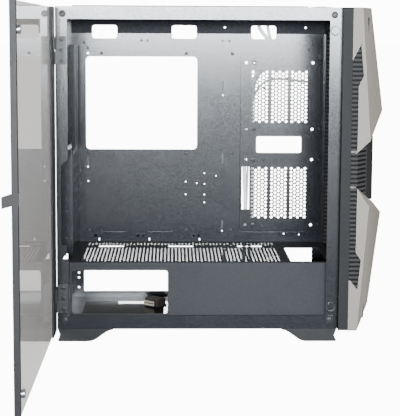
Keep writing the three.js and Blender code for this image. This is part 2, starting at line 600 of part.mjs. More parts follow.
const ioMiddle = (ioRear + ioFront) / 2;
const buttons = {
  power: { x: ioHousing.x0 + 16, radius: 7, u: ioMiddle },
  reset: { x: ioHousing.x0 + 34, radius: 3, u: ioMiddle },
};
const button = { clearance: 0.4, travel: 1.5, height: 5, proud: 0.8, collar: 1 };
const housingTop = top + ioHousing.above;
const wellFloor = housingTop + button.proud - button.height - button.travel - gap;
const sockets = [
  rect(ioHousing.x0 + 44, ioHousing.x0 + 50, ioMiddle - 6.6, ioMiddle + 6.6, 0.6),
  rect(ioHousing.x0 + 58, ioHousing.x0 + 64, ioMiddle - 6.6, ioMiddle + 6.6, 0.6),
  rect(ioHousing.x0 + 74, ioHousing.x0 + 80, ioMiddle - 6.6, ioMiddle + 6.6, 0.6),
  disc(ioHousing.x0 + 94, ioMiddle, 2.4, 14),
  disc(ioHousing.x0 + 108, ioMiddle, 2.4, 14),
];
const socketDepth = 10;
piece('io_housing', cut(
  plate('z', top - ioHousing.below, housingTop,
    rect(ioHousing.x0, ioHousing.x1, ioRear, ioFront, 2)),
  ...sockets.map((outline) => plate('z', housingTop - socketDepth, housingTop + 1, outline)),
  ...Object.values(buttons).map(({ x, u, radius }) =>
    plate('z', wellFloor, housingTop + 1, disc(x, u, radius + button.clearance, 24))),
), blackPlastic);
for (const [name, { x, u, radius }] of Object.entries(buttons)) {
  piece(`${name}_button`, plate('z', housingTop + button.proud - button.height, housingTop + button.proud,
    disc(x, u, radius, 24)), blackPlastic);
}

// ---------------------------------------------------------------- front panel cables and their plugs

// Each cable leaves the control housing or the front steel, runs behind the tray and ends in a loose plug.
const cables = {
  usb_cable: { diameter: 6, points: [
    [188.5, ioRear - gap, 461.5], [188.5, 356, 461.5], [188.5, 336, 461], [189, 317, 458],
    [189, 305.5, 450], [189, 303, 441], [189, 308, 431], [189, 316, 421], [189, 320, 408], [189, 318, 391],
    [189, 308, 374], [189, 297, 358], [188.5, 289.5, 341], [188, 285, 322], [188, 283, 296],
    [188, 282, 268], [188, 281.5, 240], [188, 282, 212], [188, 283, 184], [188.5, 284, 156],
    [189, 284, 128], [190, 283, 100], [190, 282.5, 74], [190, 281, 50], [189.5, 276, 28], [189, 265, 11],
    [188, 251, 4.6], [187, 236, 4.3], [186, 214, 4.3], [183, 194, 4.3], [178, 178, 5], [170, 165, 6.4],
    [160, 154, 7.3], [151, 146.5, 7.5],
  ] },
  audio_cable: { diameter: 5, points: [
    [190, ioRear - gap, 455.3], [190.5, 362, 455.3], [193, 345, 455], [195.5, 328, 452], [196, 318.5, 445],
    [196, 318.5, 434], [196, 322, 420], [196, 325, 405], [196, 322, 388], [196, 311, 372], [195, 301, 358],
    [194.5, 296, 342], [194.5, 294, 322], [194.5, 294, 294], [194.5, 294, 264], [194.5, 294, 232],
    [194.5, 294, 200], [194.5, 294, 168], [194.5, 294, 138], [194.5, 293, 114], [193.5, 292, 97],
    [189, 291, 85], [180, 290, 80], [164, 289.5, 78.5], [140, 289, 79], [110, 287.5, 80], [80, 285, 80],
    [52, 281, 79], [32, 277, 72], [22, 273.5, 58], [19, 269, 40], [22, 262, 22], [32, 254, 9],
    [48, 247, 4], [66, 241, 3.9], [84, 236, 4.5],
  ] },
  lead_cable: { diameter: 3.5, points: [
    [188, trayFront - gap, 352], [188, 394, 352], [188, 376, 353], [188.5, 356, 355.5], [189, 338, 357],
    [191.5, 324, 356], [196.5, 314, 352], [199.7, 305, 343], [199.7, 297, 329], [199.7, 291, 310],
    [199.7, 289, 282], [199.7, 288, 250], [199.7, 288, 216], [199.7, 287, 182], [199.7, 286, 150],
    [199, 282, 124], [198, 272, 104], [195, 261, 91], [186, 253, 83], [172, 249, 80], [150, 247.5, 80],
    [120, 247, 81], [90, 247, 81], [60, 247, 80], [38, 246.5, 75], [24, 245, 60], [19, 241, 40],
    [22, 234, 20], [32, 226, 7], [48, 219, 3], [64, 212, 3], [78, 205, 3.4],
  ] },
};
function tube({ diameter, points }) {
  const curve = new THREE.CatmullRomCurve3(points.map(([x, u, z]) => new THREE.Vector3(x, -u, z)), false, 'centripetal');
  const section = new THREE.Shape(disc(0, 0, diameter / 2, 8).map(([a, b]) => new THREE.Vector2(a, b)));
  const steps = Math.min(78, Math.round(curve.getLength() / (2.2 * diameter)));
  return solidOf(new THREE.ExtrudeGeometry(section, { steps, extrudePath: curve, bevelEnabled: false }));
}
for (const [name, cable] of Object.entries(cables)) {
  piece(name, tube(cable), cableBlack);
}

/** Plug body laid flat at the end of its cable, its length along the cable's last direction. */
function plug(name, { points }, { length, width, height, lift }) {
  const [before, end] = points.slice(-2).map(([x, u]) => new THREE.Vector2(x, -u));
  const away = end.clone().sub(before).normalize();
  const holder = new THREE.Group();
  holder.position.set(end.x, end.y, 0);
  holder.rotation.z = Math.atan2(away.y, away.x);
  steelBody.add(holder);
  piece(name, join(
    block(gap, length, -width / 2, width / 2, lift, lift + height),
    block(length - 1, length + 5, -width / 2 + 1.5, width / 2 - 1.5, lift + 1.5, lift + height - 1.5),
  ), blackPlastic, holder);
}
const plugLift = sheet + gap;
plug('usb_plug', cables.usb_cable, { length: 20, width: 26, height: 12, lift: plugLift });
plug('audio_plug', cables.audio_cable, { length: 14, width: 13, height: 8, lift: plugLift });
plug('lead_plug', cables.lead_cable, { length: 14, width: 9, height: 6, lift: plugLift });

// ---------------------------------------------------------------- stand the tower on its feet, centred on its outline

tower.updateMatrixWorld(true);
const outline = new THREE.Box3().setFromObject(tower, true);
const middle = outline.getCenter(new THREE.Vector3());
tower.position.set(-middle.x, -middle.y, -outline.min.z);

export default tower;
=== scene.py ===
# %% [markdown]
# # A computer tower with its glass door open
#
# The steel case, its plastic front, its hinges and its cables come from a CAD model that is loaded as a
# fixed frame. This lesson gives every one of those pieces its finish, punches the vent holes that the CAD
# leaves out, and makes the small things that catch the eye: screws, plugs, beads pressed into sheet
# metal, a knurled knob. Lengths in the helpers are millimetres, because a case maker thinks in them.
# Blender itself works in metres.

# %% Load the frame and keep its box
import math

import bmesh
import bpy
from mathutils import Matrix, Vector


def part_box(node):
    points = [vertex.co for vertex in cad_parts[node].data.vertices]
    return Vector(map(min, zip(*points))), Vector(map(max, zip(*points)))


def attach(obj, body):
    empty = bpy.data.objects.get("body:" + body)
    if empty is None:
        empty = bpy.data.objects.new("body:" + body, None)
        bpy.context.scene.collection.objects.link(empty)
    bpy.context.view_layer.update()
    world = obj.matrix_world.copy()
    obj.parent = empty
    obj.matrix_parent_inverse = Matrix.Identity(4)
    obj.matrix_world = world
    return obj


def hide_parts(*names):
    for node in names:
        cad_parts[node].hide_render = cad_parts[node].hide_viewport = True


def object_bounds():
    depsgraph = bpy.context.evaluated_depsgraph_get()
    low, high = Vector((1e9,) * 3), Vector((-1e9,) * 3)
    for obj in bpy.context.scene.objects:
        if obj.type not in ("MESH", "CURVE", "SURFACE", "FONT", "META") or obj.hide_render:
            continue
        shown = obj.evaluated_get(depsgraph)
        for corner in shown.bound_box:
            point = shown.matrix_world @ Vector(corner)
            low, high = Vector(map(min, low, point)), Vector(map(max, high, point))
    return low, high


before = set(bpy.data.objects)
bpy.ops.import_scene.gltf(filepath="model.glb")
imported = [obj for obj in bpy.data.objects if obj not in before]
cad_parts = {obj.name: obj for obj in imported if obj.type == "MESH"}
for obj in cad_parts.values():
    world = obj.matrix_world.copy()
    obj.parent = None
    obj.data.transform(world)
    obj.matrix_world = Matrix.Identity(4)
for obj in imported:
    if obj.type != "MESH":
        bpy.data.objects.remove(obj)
cad_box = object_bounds()
scene = bpy.context.scene
MM = 0.001

# %% [markdown]
# ## Where things are
#
# A case maker measures from one corner of the steel body: x runs in from the door side, u runs forwards
# from the rear edge, and z runs up from the underside. Reading that corner off the CAD once means that
# everything after it can be placed in those plain terms, and it stays right if the model is moved.

# %% The case's own corner and sizes
panel_low, panel_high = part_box("top_panel")
CORNER = Vector((panel_low.x, panel_high.y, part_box("bezel_frame")[0].z))
WIDTH = (panel_high.x - panel_low.x) / MM
DEPTH = (panel_high.y - panel_low.y) / MM
HEIGHT = (panel_high.z - CORNER.z) / MM


def at(x, u, z):
    """The point x in from the door side, u forwards and z up, all in millimetres, as metres in the frame."""
    return CORNER + Vector((x, -u, z)) * MM


print(f"steel body {WIDTH:.0f} x {DEPTH:.0f} x {HEIGHT:.1f} mm")

# %% [markdown]
# ## Camera
#
# The tower is seen square on to its open side from about 1.7 m, with a long lens just below the height of
# its top. The lens is shifted down a little, as a view camera's is, so that upright edges stay upright
# while the picture shows the floor.

# %% Camera
EYE = at(-1657.7, 168.0, 432.2)
yaw, pitch, roll = (math.radians(angle) for angle in (-1.327, -6.334, 0.279))
forward = Vector((math.cos(pitch) * math.cos(yaw), math.cos(pitch) * math.sin(yaw), math.sin(pitch)))
level = forward.cross(Vector((0, 0, 1))).normalized()
upright = level.cross(forward)
right = level * math.cos(roll) + upright * math.sin(roll)
up = upright * math.cos(roll) - level * math.sin(roll)

camera = bpy.data.objects.new("camera", bpy.data.cameras.new("camera"))
camera.matrix_world = Matrix.Translation(EYE) @ Matrix((right, up, -forward)).transposed().to_4x4()
camera.data.sensor_width = 36
camera.data.lens = 100.55
camera.data.shift_y = -0.1154
scene.collection.objects.link(camera)
scene.camera = camera
print("camera at", [round(value, 3) for value in EYE])

# %% [markdown]
# ## Cables
#
# Three cables come from the top and the front of the tower: a thick one for USB, a thinner one for sound,
# and thin leads for the buttons. They hang behind the tray and end in loose plugs. Each is one curve with
# a round bevel, which keeps its thickness the same all along, and each is declared at the length of its
# route.

# %% Cable routes
def cable(name, node, diameter, length, points):
    """A round cable through these points, standing for the CAD node."""
    curve = bpy.data.curves.new(name, "CURVE")
    curve.dimensions = "3D"
    curve.bevel_depth = diameter / 2 * MM
    curve.bevel_resolution = 4
    curve.resolution_u = 10
    curve.use_fill_caps = True
    spline = curve.splines.new("BEZIER")
    spline.bezier_points.add(len(points) - 1)
    for knot, point in zip(spline.bezier_points, points):
        knot.co = at(*point)
        knot.handle_left_type = knot.handle_right_type = "AUTO"
    made = bpy.data.objects.new(name, curve)
    scene.collection.objects.link(made)
    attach(made, "case")
    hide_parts(node)
    print(f"{name}: {spline.calc_length() / MM:.0f} mm, stated {length / MM:.0f} mm")
    return made


USB_ROUTE = [
    (188.5, 373.7, 461.5), (188.5, 356, 461.5), (188.5, 336, 461), (189, 317, 458), (189, 305.5, 450),
    (189, 303, 441), (189, 308, 431), (189, 316, 421), (189, 320, 408), (189, 318, 391),
    (189, 308, 374), (189, 297, 358), (188.5, 289.5, 341), (188, 285, 322), (188, 283, 296),
    (188, 282, 268), (188, 281.5, 240), (188, 282, 212), (188, 283, 184), (188.5, 284, 156),
    (189, 284, 128), (190, 283, 100), (190, 282.5, 74), (190, 281, 50), (189.5, 276, 28),
    (189, 265, 11), (188, 251, 4.6), (187, 236, 4.3), (186, 214, 4.3), (183, 194, 4.3), (178, 178, 5),
    (170, 165, 6.4), (160, 154, 7.3), (151, 146.5, 7.5),
]
AUDIO_ROUTE = [
    (190, 373.7, 455.3), (190.5, 362, 455.3), (193, 345, 455), (195.5, 328, 452), (196, 318.5, 445),
    (196, 318.5, 434), (196, 322, 420), (196, 325, 405), (196, 322, 388), (196, 311, 372),
    (195, 301, 358), (194.5, 296, 342), (194.5, 294, 322), (194.5, 294, 294), (194.5, 294, 264),
    (194.5, 294, 232), (194.5, 294, 200), (194.5, 294, 168), (194.5, 294, 138), (194.5, 293, 114),
    (193.5, 292, 97), (189, 291, 85), (180, 290, 80), (164, 289.5, 78.5), (140, 289, 79),
    (110, 287.5, 80), (80, 285, 80), (52, 281, 79), (32, 277, 72), (22, 273.5, 58), (19, 269, 40),
    (22, 262, 22), (32, 254, 9), (48, 247, 4), (66, 241, 3.9), (84, 236, 4.5),
]
LEAD_ROUTE = [
    (188, 406.4, 352), (188, 394, 352), (188, 376, 353), (188.5, 356, 355.5), (189, 338, 357),
    (191.5, 324, 356), (196.5, 314, 352), (199.7, 305, 343), (199.7, 297, 329), (199.7, 291, 310),
    (199.7, 289, 282), (199.7, 288, 250), (199.7, 288, 216), (199.7, 287, 182), (199.7, 286, 150),
    (199, 282, 124), (198, 272, 104), (195, 261, 91), (186, 253, 83), (172, 249, 80), (150, 247.5, 80),
    (120, 247, 81), (90, 247, 81), (60, 247, 80), (38, 246.5, 75), (24, 245, 60), (19, 241, 40),
    (22, 234, 20), (32, 226, 7), (48, 219, 3), (64, 212, 3), (78, 205, 3.4),
]

USB_LENGTH = 0.66
AUDIO_LENGTH = 0.72
LEAD_LENGTH = 0.67
usb_cable = cable("usb_lead", "usb_cable", 6, USB_LENGTH, USB_ROUTE)
audio_cable = cable("sound_lead", "audio_cable", 5, AUDIO_LENGTH, AUDIO_ROUTE)
button_cable = cable("button_lead", "lead_cable", 3.5, LEAD_LENGTH, LEAD_ROUTE)

# %% [markdown]
# ## Effects that several finishes share
#
# Painted steel, moulded plastic and plated screws look real for the same few reasons: a fine grain, edges
# rubbed a little bare, and handling marks. Each effect is one node group. It is built once and placed in
# every material that needs it, with that material's own values.

# %% Helpers for nodes
def add_node(tree, kind, inputs=None, **settings):
    """One node. Inputs are given as plain values, or as another node's socket."""
    made = tree.nodes.new(kind)
    for name, value in settings.items():
        setattr(made, name, value)
    for name, value in (inputs or {}).items():
        if isinstance(value, bpy.types.NodeSocket):
            tree.links.new(value, made.inputs[name])
        else:
            made.inputs[name].default_value = value
    return made


def effect(name, inputs, outputs):
    """An empty node group with named sockets, with its input and output nodes."""
    group = bpy.data.node_groups.new(name, "ShaderNodeTree")
    for label, value in inputs.items():
        socket = group.interface.new_socket(label, in_out="INPUT", socket_type="NodeSocketFloat")
        socket.default_value = value
    for label in outputs:
        group.interface.new_socket(label, in_out="OUTPUT", socket_type="NodeSocketFloat")
    return group, group.nodes.new("NodeGroupInput"), group.nodes.new("NodeGroupOutput")


def per_metre(group, size):
    """How many times a pattern of this size in millimetres fits in a metre."""
    return add_node(group, "ShaderNodeMath", {0: 1000.0, 1: size}, operation="DIVIDE").outputs[0]


# %% [markdown]
# Powder coat and spark-eroded moulds both leave a fine, even pebble. Two sizes of noise are mixed: the
# small one is the pebble itself, and the large one is the slow drift in tone that stops a big panel
# looking like paper.

# %% Effect: grain
grain, given, result = effect("grain", {"Size mm": 0.8, "Drift mm": 60.0}, ["Pebble", "Fleck", "Drift"])
place = grain.nodes.new("ShaderNodeTexCoord").outputs["Object"]
pebble = add_node(grain, "ShaderNodeTexNoise", {
    "Vector": place, "Scale": per_metre(grain, given.outputs["Size mm"]), "Detail": 2.0, "Roughness": 0.6})
fleck = add_node(grain, "ShaderNodeTexVoronoi", {
    "Vector": place, "Scale": per_metre(grain, given.outputs["Size mm"]), "Randomness": 1.0})
bright = add_node(grain, "ShaderNodeSeparateColor", {0: fleck.outputs["Color"]})
drift = add_node(grain, "ShaderNodeTexNoise", {
    "Vector": place, "Scale": per_metre(grain, given.outputs["Drift mm"]), "Detail": 3.0, "Roughness": 0.5})
grain.links.new(pebble.outputs["Fac"], result.inputs["Pebble"])
grain.links.new(bright.outputs[0], result.inputs["Fleck"])
grain.links.new(drift.outputs["Fac"], result.inputs["Drift"])
print("effect:", grain.name)

# %% [markdown]
# Paint thins over a folded edge, and handling polishes it. The Bevel node gives the normal that a rounded
# edge would have. Where that differs from the flat face's own normal, there is an edge. On the silver
# wings the same mask also lays a painted highlight along every edge.

# %% Effect: worn edges and painted edge highlights
worn_and_highlit, given, result = effect("worn edges", {"Width mm": 0.8, "Patch mm": 9.0}, ["Mask"])
width = add_node(worn_and_highlit, "ShaderNodeMath", {0: given.outputs["Width mm"], 1: MM}, operation="MULTIPLY")
rounded = add_node(worn_and_highlit, "ShaderNodeBevel", {"Radius": width.outputs[0]}, samples=4)
facing = worn_and_highlit.nodes.new("ShaderNodeNewGeometry").outputs["Normal"]
agree = add_node(worn_and_highlit, "ShaderNodeVectorMath", {0: rounded.outputs[0], 1: facing}, operation="DOT_PRODUCT")
edge = add_node(worn_and_highlit, "ShaderNodeMapRange", {
    "Value": agree.outputs["Value"], "From Min": 0.97, "From Max": 0.75, "To Min": 0.0, "To Max": 1.0})
place = worn_and_highlit.nodes.new("ShaderNodeTexCoord").outputs["Object"]
patch = add_node(worn_and_highlit, "ShaderNodeTexNoise", {
    "Vector": place, "Scale": per_metre(worn_and_highlit, given.outputs["Patch mm"]), "Detail": 4.0})
broken = add_node(worn_and_highlit, "ShaderNodeMapRange", {
    "Value": patch.outputs["Fac"], "From Min": 0.35, "From Max": 0.65, "To Min": 0.25, "To Max": 1.0})
mask = add_node(worn_and_highlit, "ShaderNodeMath", {0: edge.outputs[0], 1: broken.outputs[0]}, operation="MULTIPLY")
worn_and_highlit.links.new(mask.outputs[0], result.inputs["Mask"])
print("effect:", worn_and_highlit.name)

# %% [markdown]
# Fingers and packing leave faint cloudy marks. They hardly change the colour, but they dull the gloss in
# patches, which is what the eye reads on glass and on dark plastic.

# %% Effect: handling marks
marks, given, result = effect("handling marks", {"Size mm": 45.0, "Amount": 0.5}, ["Mask"])
place = marks.nodes.new("ShaderNodeTexCoord").outputs["Object"]
cloud = add_node(marks, "ShaderNodeTexNoise", {
    "Vector": place, "Scale": per_metre(marks, given.outputs["Size mm"]), "Detail": 5.0, "Roughness": 0.62,
    "Distortion": 0.6})
patchy = add_node(marks, "ShaderNodeMapRange", {
    "Value": cloud.outputs["Fac"], "From Min": 0.48, "From Max": 0.72, "To Min": 0.0, "To Max": 1.0})
share = add_node(marks, "ShaderNodeMath", {
    0: patchy.outputs[0], 1: given.outputs["Amount"]}, operation="MULTIPLY")
marks.links.new(share.outputs[0], result.inputs["Mask"])
print("effect:", marks.name)

# %% [markdown]
# ## Finishes
#
# Every finish starts from one Principled shader. The helpers below wire the shared effects to it, so that
# each material's own cell only says what is particular to it: its colour, its gloss and how coarse its
# grain is.

# %% Helpers for finishes
def principled(name, **plain):
    """A new material and its shader, with these plain values on the shader's own sockets."""
    material = bpy.data.materials.new(name)
    material.use_nodes = True
    shader = material.node_tree.nodes["Principled BSDF"]
    for label, value in plain.items():
        shader.inputs[label.replace("_", " ")].default_value = value
    return material, material.node_tree, shader


def use(tree, group, **inputs):
    """Places a shared effect in a material, with its own values."""
    made = add_node(tree, "ShaderNodeGroup", node_tree=group)
    for label, value in inputs.items():
        made.inputs[label.replace("_", " ")].default_value = value
    return made.outputs


def colour_mix(tree, factor, low, high):
    """The colour between low and high at this factor. Either may be a socket."""
    mixed = add_node(tree, "ShaderNodeMix", data_type="RGBA")
    for socket, value in ((mixed.inputs[0], factor), (mixed.inputs[6], low), (mixed.inputs[7], high)):
        if isinstance(value, bpy.types.NodeSocket):
            tree.links.new(value, socket)
        else:
            socket.default_value = value
    return mixed.outputs[2]


def spread(tree, value, low, high):
    """Maps a value that runs from 0 to 1 to the range from low to high."""
    return add_node(tree, "ShaderNodeMapRange", {"Value": value, "To Min": low, "To Max": high}).outputs[0]


def bump(tree, shader, height, distance_mm, strength=1.0):
    """Feeds a height to the shader's normal."""
    made = add_node(tree, "ShaderNodeBump", {
        "Height": height, "Distance": distance_mm * MM, "Strength": strength})
    tree.links.new(made.outputs[0], shader.inputs["Normal"])


def grained(name, dark, light, edge, rough, size, depth, wear_and_highlight=0.5, **plain):
    """A grained coat: the colour flecks between dark and light, and at edges goes towards edge: scuffs, and a
    painted highlight where edge is pale.
    """
    material, tree, shader = principled(name, **plain)
    fine = use(tree, grain, Size_mm=size)
    rubbed_and_highlit = use(tree, worn_and_highlit)["Mask"]
    handled = use(tree, marks, Amount=0.6)["Mask"]
    flecked = colour_mix(tree, fine["Fleck"], (*dark, 1), (*light, 1))
    drifting = colour_mix(tree, spread(tree, fine["Drift"], 0.0, 0.35), flecked, (*light, 1))
    bare = colour_mix(tree, spread(tree, rubbed_and_highlit, 0.0, wear_and_highlight), drifting, (*edge, 1))
    tree.links.new(bare, shader.inputs["Base Color"])
    dull = add_node(tree, "ShaderNodeMath", {0: fine["Fleck"], 1: handled}, operation="ADD").outputs[0]
    tree.links.new(spread(tree, dull, rough[0], rough[1]), shader.inputs["Roughness"])
    bump(tree, shader, fine["Pebble"], depth)
    return material


# %% [markdown]
# The steel is powder coated in a dark blue-grey with a fine sparkle. The coat is a plastic, so it is not
# metallic: its shine comes from the clear binder, and its sparkle from flecks that are a shade lighter.
# The shroud's coat is duller. The strip above the tray lies in the shade of the top rail, and that shade is
# painted: the strip takes a dull copy of the coat that hardly shines at all.

# %% Finish: body paint, painted shade and shroud paint
body_paint = grained(
    "body_paint", dark=(0.0035, 0.0043, 0.0062), light=(0.0115, 0.0132, 0.0175), edge=(0.05, 0.054, 0.062),
    rough=(0.17, 0.215), size=1.8, depth=0.010, Specular_IOR_Level=0.6)
# A dull copy of the body paint, as painted shade for the strip above the tray.
painted_shade_coat = grained(
    "painted_shade_coat", dark=(0.020, 0.021, 0.024), light=(0.036, 0.038, 0.043), edge=(0.05, 0.052, 0.056),
    rough=(0.85, 0.95), size=1.8, depth=0.01, Specular_IOR_Level=0.03)
shroud_paint = grained(
    "shroud_paint", dark=(0.008, 0.009, 0.011), light=(0.018, 0.0195, 0.023), edge=(0.05, 0.054, 0.062),
    rough=(0.6, 0.7), size=1.8, depth=0.02, Specular_IOR_Level=0.3)

# %% Finish: black hinge paint and screw coating
hinge_paint = grained(
    "hinge_paint", dark=(0.008, 0.008, 0.010), light=(0.016, 0.017, 0.019), edge=(0.08, 0.08, 0.085),
    rough=(0.34, 0.42), size=0.7, depth=0.03, Specular_IOR_Level=0.5)
black_screw = grained(
    "black_screw", dark=(0.003, 0.003, 0.0035), light=(0.007, 0.007, 0.008), edge=(0.16, 0.16, 0.17),
    rough=(0.34, 0.42), size=0.4, depth=0.01, wear_and_highlight=0.45, Specular_IOR_Level=0.35)

# %% [markdown]
# The bezel, the feet and the dark parts of the front are moulded plastic. Their grain is coarser and
# rounder than the paint's, and black plastic shows handling marks more than any other finish here.

# %% Finish: dark and black plastic
dark_plastic = grained(
    "dark_plastic", dark=(0.009, 0.0093, 0.0100), light=(0.015, 0.0154, 0.0163), edge=(0.07, 0.07, 0.073),
    rough=(0.5, 0.58), size=1.1, depth=0.02, Specular_IOR_Level=0.12)
black_plastic = grained(
    "black_plastic", dark=(0.007, 0.0072, 0.008), light=(0.014, 0.0143, 0.0155), edge=(0.05, 0.05, 0.052),
    rough=(0.42, 0.52), size=1.0, depth=0.02, Specular_IOR_Level=0.25)
plug_plastic = grained(
    "plug_plastic", dark=(0.030, 0.024, 0.020), light=(0.050, 0.042, 0.036), edge=(0.12, 0.11, 0.10),
    rough=(0.38, 0.46), size=0.6, depth=0.02)

# %% [markdown]
# The intake behind the wings is a stack of slats with deep gaps. A step that repeats along Z picks out
# slat or gap, and the gaps are painted nearly black: painted shade for their depth.

# %% Finish: intake slats
SLAT_PITCH = 6.4
FIRST_SLAT = 58.0
SLAT_SHARE = 0.52
# The gap colour is painted shade.
PAINTED_GAP_SHADE = (0.0012, 0.0012, 0.0013, 1)
vent_plastic, tree, shader = principled("vent_plastic", Roughness=0.55, Specular_IOR_Level=0.1)
fine = use(tree, grain, Size_mm=1.0)
height = add_node(tree, "ShaderNodeSeparateXYZ", {
    0: tree.nodes.new("ShaderNodeTexCoord").outputs["Object"]}).outputs[2]
start = CORNER.z + FIRST_SLAT * MM
along = add_node(tree, "ShaderNodeMath", {0: height, 1: start}, operation="SUBTRACT").outputs[0]
turns = add_node(tree, "ShaderNodeMath", {0: along, 1: SLAT_PITCH * MM}, operation="DIVIDE").outputs[0]
share = add_node(tree, "ShaderNodeMath", {0: turns}, operation="FRACT").outputs[0]
gap_shade_mask = add_node(tree, "ShaderNodeMath", {0: share, 1: SLAT_SHARE}, operation="GREATER_THAN").outputs[0]
slat = colour_mix(tree, fine["Fleck"], (0.020, 0.020, 0.021, 1), (0.034, 0.034, 0.035, 1))
tree.links.new(colour_mix(tree, gap_shade_mask, slat, PAINTED_GAP_SHADE), shader.inputs["Base Color"])
bump(tree, shader, fine["Pebble"], 0.02)

# %% [markdown]
# The wings are lacquered a warm silver. A little metallic in the mix makes their facets turn from light
# to dark as they face away from the light, as a real metallic lacquer does. Their edges are painted near
# white: partly wear, and partly a painted highlight.

# %% Finish: silver lacquer
# The near-white edge colour is partly wear and partly a painted highlight.
silver_plastic = grained(
    "silver_plastic", dark=(0.150, 0.138, 0.122), light=(0.205, 0.190, 0.170), edge=(0.75, 0.74, 0.72),
    rough=(0.5, 0.58), size=0.5, depth=0.006, wear_and_highlight=0.9, Metallic=0.1, Specular_IOR_Level=0.2)

# %% Finish: plated steel
zinc = grained(
    "zinc", dark=(0.40, 0.41, 0.42), light=(0.58, 0.59, 0.60), edge=(0.8, 0.8, 0.8),
    rough=(0.24, 0.36), size=0.5, depth=0.01, wear_and_highlight=0.4, Metallic=1.0)
contact_metal = grained(
    "contact_pale", dark=(0.50, 0.44, 0.33), light=(0.66, 0.60, 0.48), edge=(0.8, 0.75, 0.6),
    rough=(0.3, 0.4), size=0.4, depth=0.01, wear_and_highlight=0.3)

# %% [markdown]
# The dust filters are a fine net and the pull tab is webbing. Both are drawn as a woven height that
# catches the light in small squares.

# %% Effect: weave
weave, given, result = effect("weave", {"Pitch mm": 1.0}, ["Height"])
place = weave.nodes.new("ShaderNodeTexCoord").outputs["Object"]
threads = []
for direction in ("X", "Y", "Z"):
    bands = add_node(weave, "ShaderNodeTexWave", {
        "Vector": place, "Scale": per_metre(weave, given.outputs["Pitch mm"])}, bands_direction=direction)
    finer = add_node(weave, "ShaderNodeMath", {0: bands.outputs["Fac"], 1: 0.333}, operation="MULTIPLY")
    threads.append(finer.outputs[0])
both = add_node(weave, "ShaderNodeMath", {0: threads[0], 1: threads[1]}, operation="ADD")
total = add_node(weave, "ShaderNodeMath", {0: both.outputs[0], 1: threads[2]}, operation="ADD")
weave.links.new(total.outputs[0], result.inputs["Height"])
print("effect:", weave.name)


def woven(name, dark, light, pitch, depth, rough, **plain):
    """A woven cloth or net."""
    material, tree, shader = principled(name, Roughness=rough, **plain)
    height = use(tree, weave, Pitch_mm=pitch)["Height"]
    tree.links.new(colour_mix(tree, height, (*dark, 1), (*light, 1)), shader.inputs["Base Color"])
    bump(tree, shader, height, depth)
    return material


# %% Finish: net and strap
filter_mesh = woven("filter_mesh", (0.004, 0.004, 0.004), (0.05, 0.05, 0.052), 3.2, 0.2, 0.6)
strap = woven("strap", (0.006, 0.006, 0.006), (0.035, 0.034, 0.034), 4.0, 0.25, 0.75, Sheen_Weight=0.3)

# %% [markdown]
# The door is clear toughened glass. Seen at a low angle it works as a mirror and a window at once, so it
# needs no strong tint to look grey. The handling marks make it a shade less clear.

# %% Finish: door glass
CLEAN_GLASS = (0.86, 0.835, 0.81, 1)
MARKED_GLASS = (0.80, 0.775, 0.75, 1)
door_glass, tree, shader = principled("door_glass", Roughness=0.0, Transmission_Weight=1.0, IOR=1.5)
smudged = use(tree, marks, Size_mm=120.0, Amount=1.0)["Mask"]
tree.links.new(colour_mix(tree, smudged, CLEAN_GLASS, MARKED_GLASS), shader.inputs["Base Color"])

# %% [markdown]
# ## Dressing the pieces that stay as the CAD made them
#
# A CAD solid has knife edges, and nothing real does. Modifiers round them without touching the CAD mesh:
# a small geometry node group joins the loose triangles, a bevel rounds the sharp edges, and a second
# group with weighted normals keeps the broad faces flat and the round ones smooth.

# %% Modifier groups
def geometry_group(name):
    """A geometry node group with one geometry in and one out."""
    group = bpy.data.node_groups.new(name, "GeometryNodeTree")
    for way in ("INPUT", "OUTPUT"):
        group.interface.new_socket("Geometry", in_out=way, socket_type="NodeSocketGeometry")
    return group, group.nodes.new("NodeGroupInput"), group.nodes.new("NodeGroupOutput")


SAME_POINT = 1e-6
SOFT_EDGE = math.radians(34)
BEVELLED_EDGE = math.radians(38)
joined, source, sink = geometry_group("join loose triangles")
plain_normals = add_node(joined, "GeometryNodeRemoveAttribute", {
    "Geometry": source.outputs[0], "Name": "custom_normal"})
merged = add_node(joined, "GeometryNodeMergeByDistance", {
    "Geometry": plain_normals.outputs[0], "Distance": SAME_POINT})
joined.links.new(merged.outputs[0], sink.inputs[0])

smoothed, source, sink = geometry_group("smooth below an angle")
edge_angle = add_node(smoothed, "GeometryNodeInputMeshEdgeAngle")
sharp = add_node(smoothed, "FunctionNodeCompare", {
    0: edge_angle.outputs[0], 1: SOFT_EDGE}, operation="GREATER_THAN")
faces = add_node(smoothed, "GeometryNodeSetShadeSmooth", {
    "Geometry": source.outputs[0], "Shade Smooth": True})
edges = add_node(smoothed, "GeometryNodeSetShadeSmooth", {
    "Geometry": faces.outputs[0], "Selection": sharp.outputs[0], "Shade Smooth": False}, domain="EDGE")
smoothed.links.new(edges.outputs[0], sink.inputs[0])


def round_edges(piece, width_mm, segments=2):
    """Rounds a piece's sharp edges and smooths its shading, by modifiers alone. Width 0 adds no bevel."""
    clean = piece.modifiers.new("join", "NODES")
    clean.node_group = joined
    if width_mm:
        bevel = piece.modifiers.new("round", "BEVEL")
        bevel.width = width_mm * MM
        bevel.segments = segments
        bevel.limit_method = "ANGLE"
        bevel.angle_limit = BEVELLED_EDGE
        bevel.use_clamp_overlap = True
    piece.modifiers.new("smooth", "NODES").node_group = smoothed
    piece.modifiers.new("flatten", "WEIGHTED_NORMAL").keep_sharp = True


def dress(material, width_mm, *names):
    """Gives CAD pieces a finish and rounded edges."""
    for name in names:
        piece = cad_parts[name]
        piece.data.materials.clear()
        piece.data.materials.append(material)
        round_edges(piece, width_mm)
    print(f"{material.name}: {len(names)} CAD pieces")


LEVELS = ("upper", "lower")
SIDES = ("left", "right")

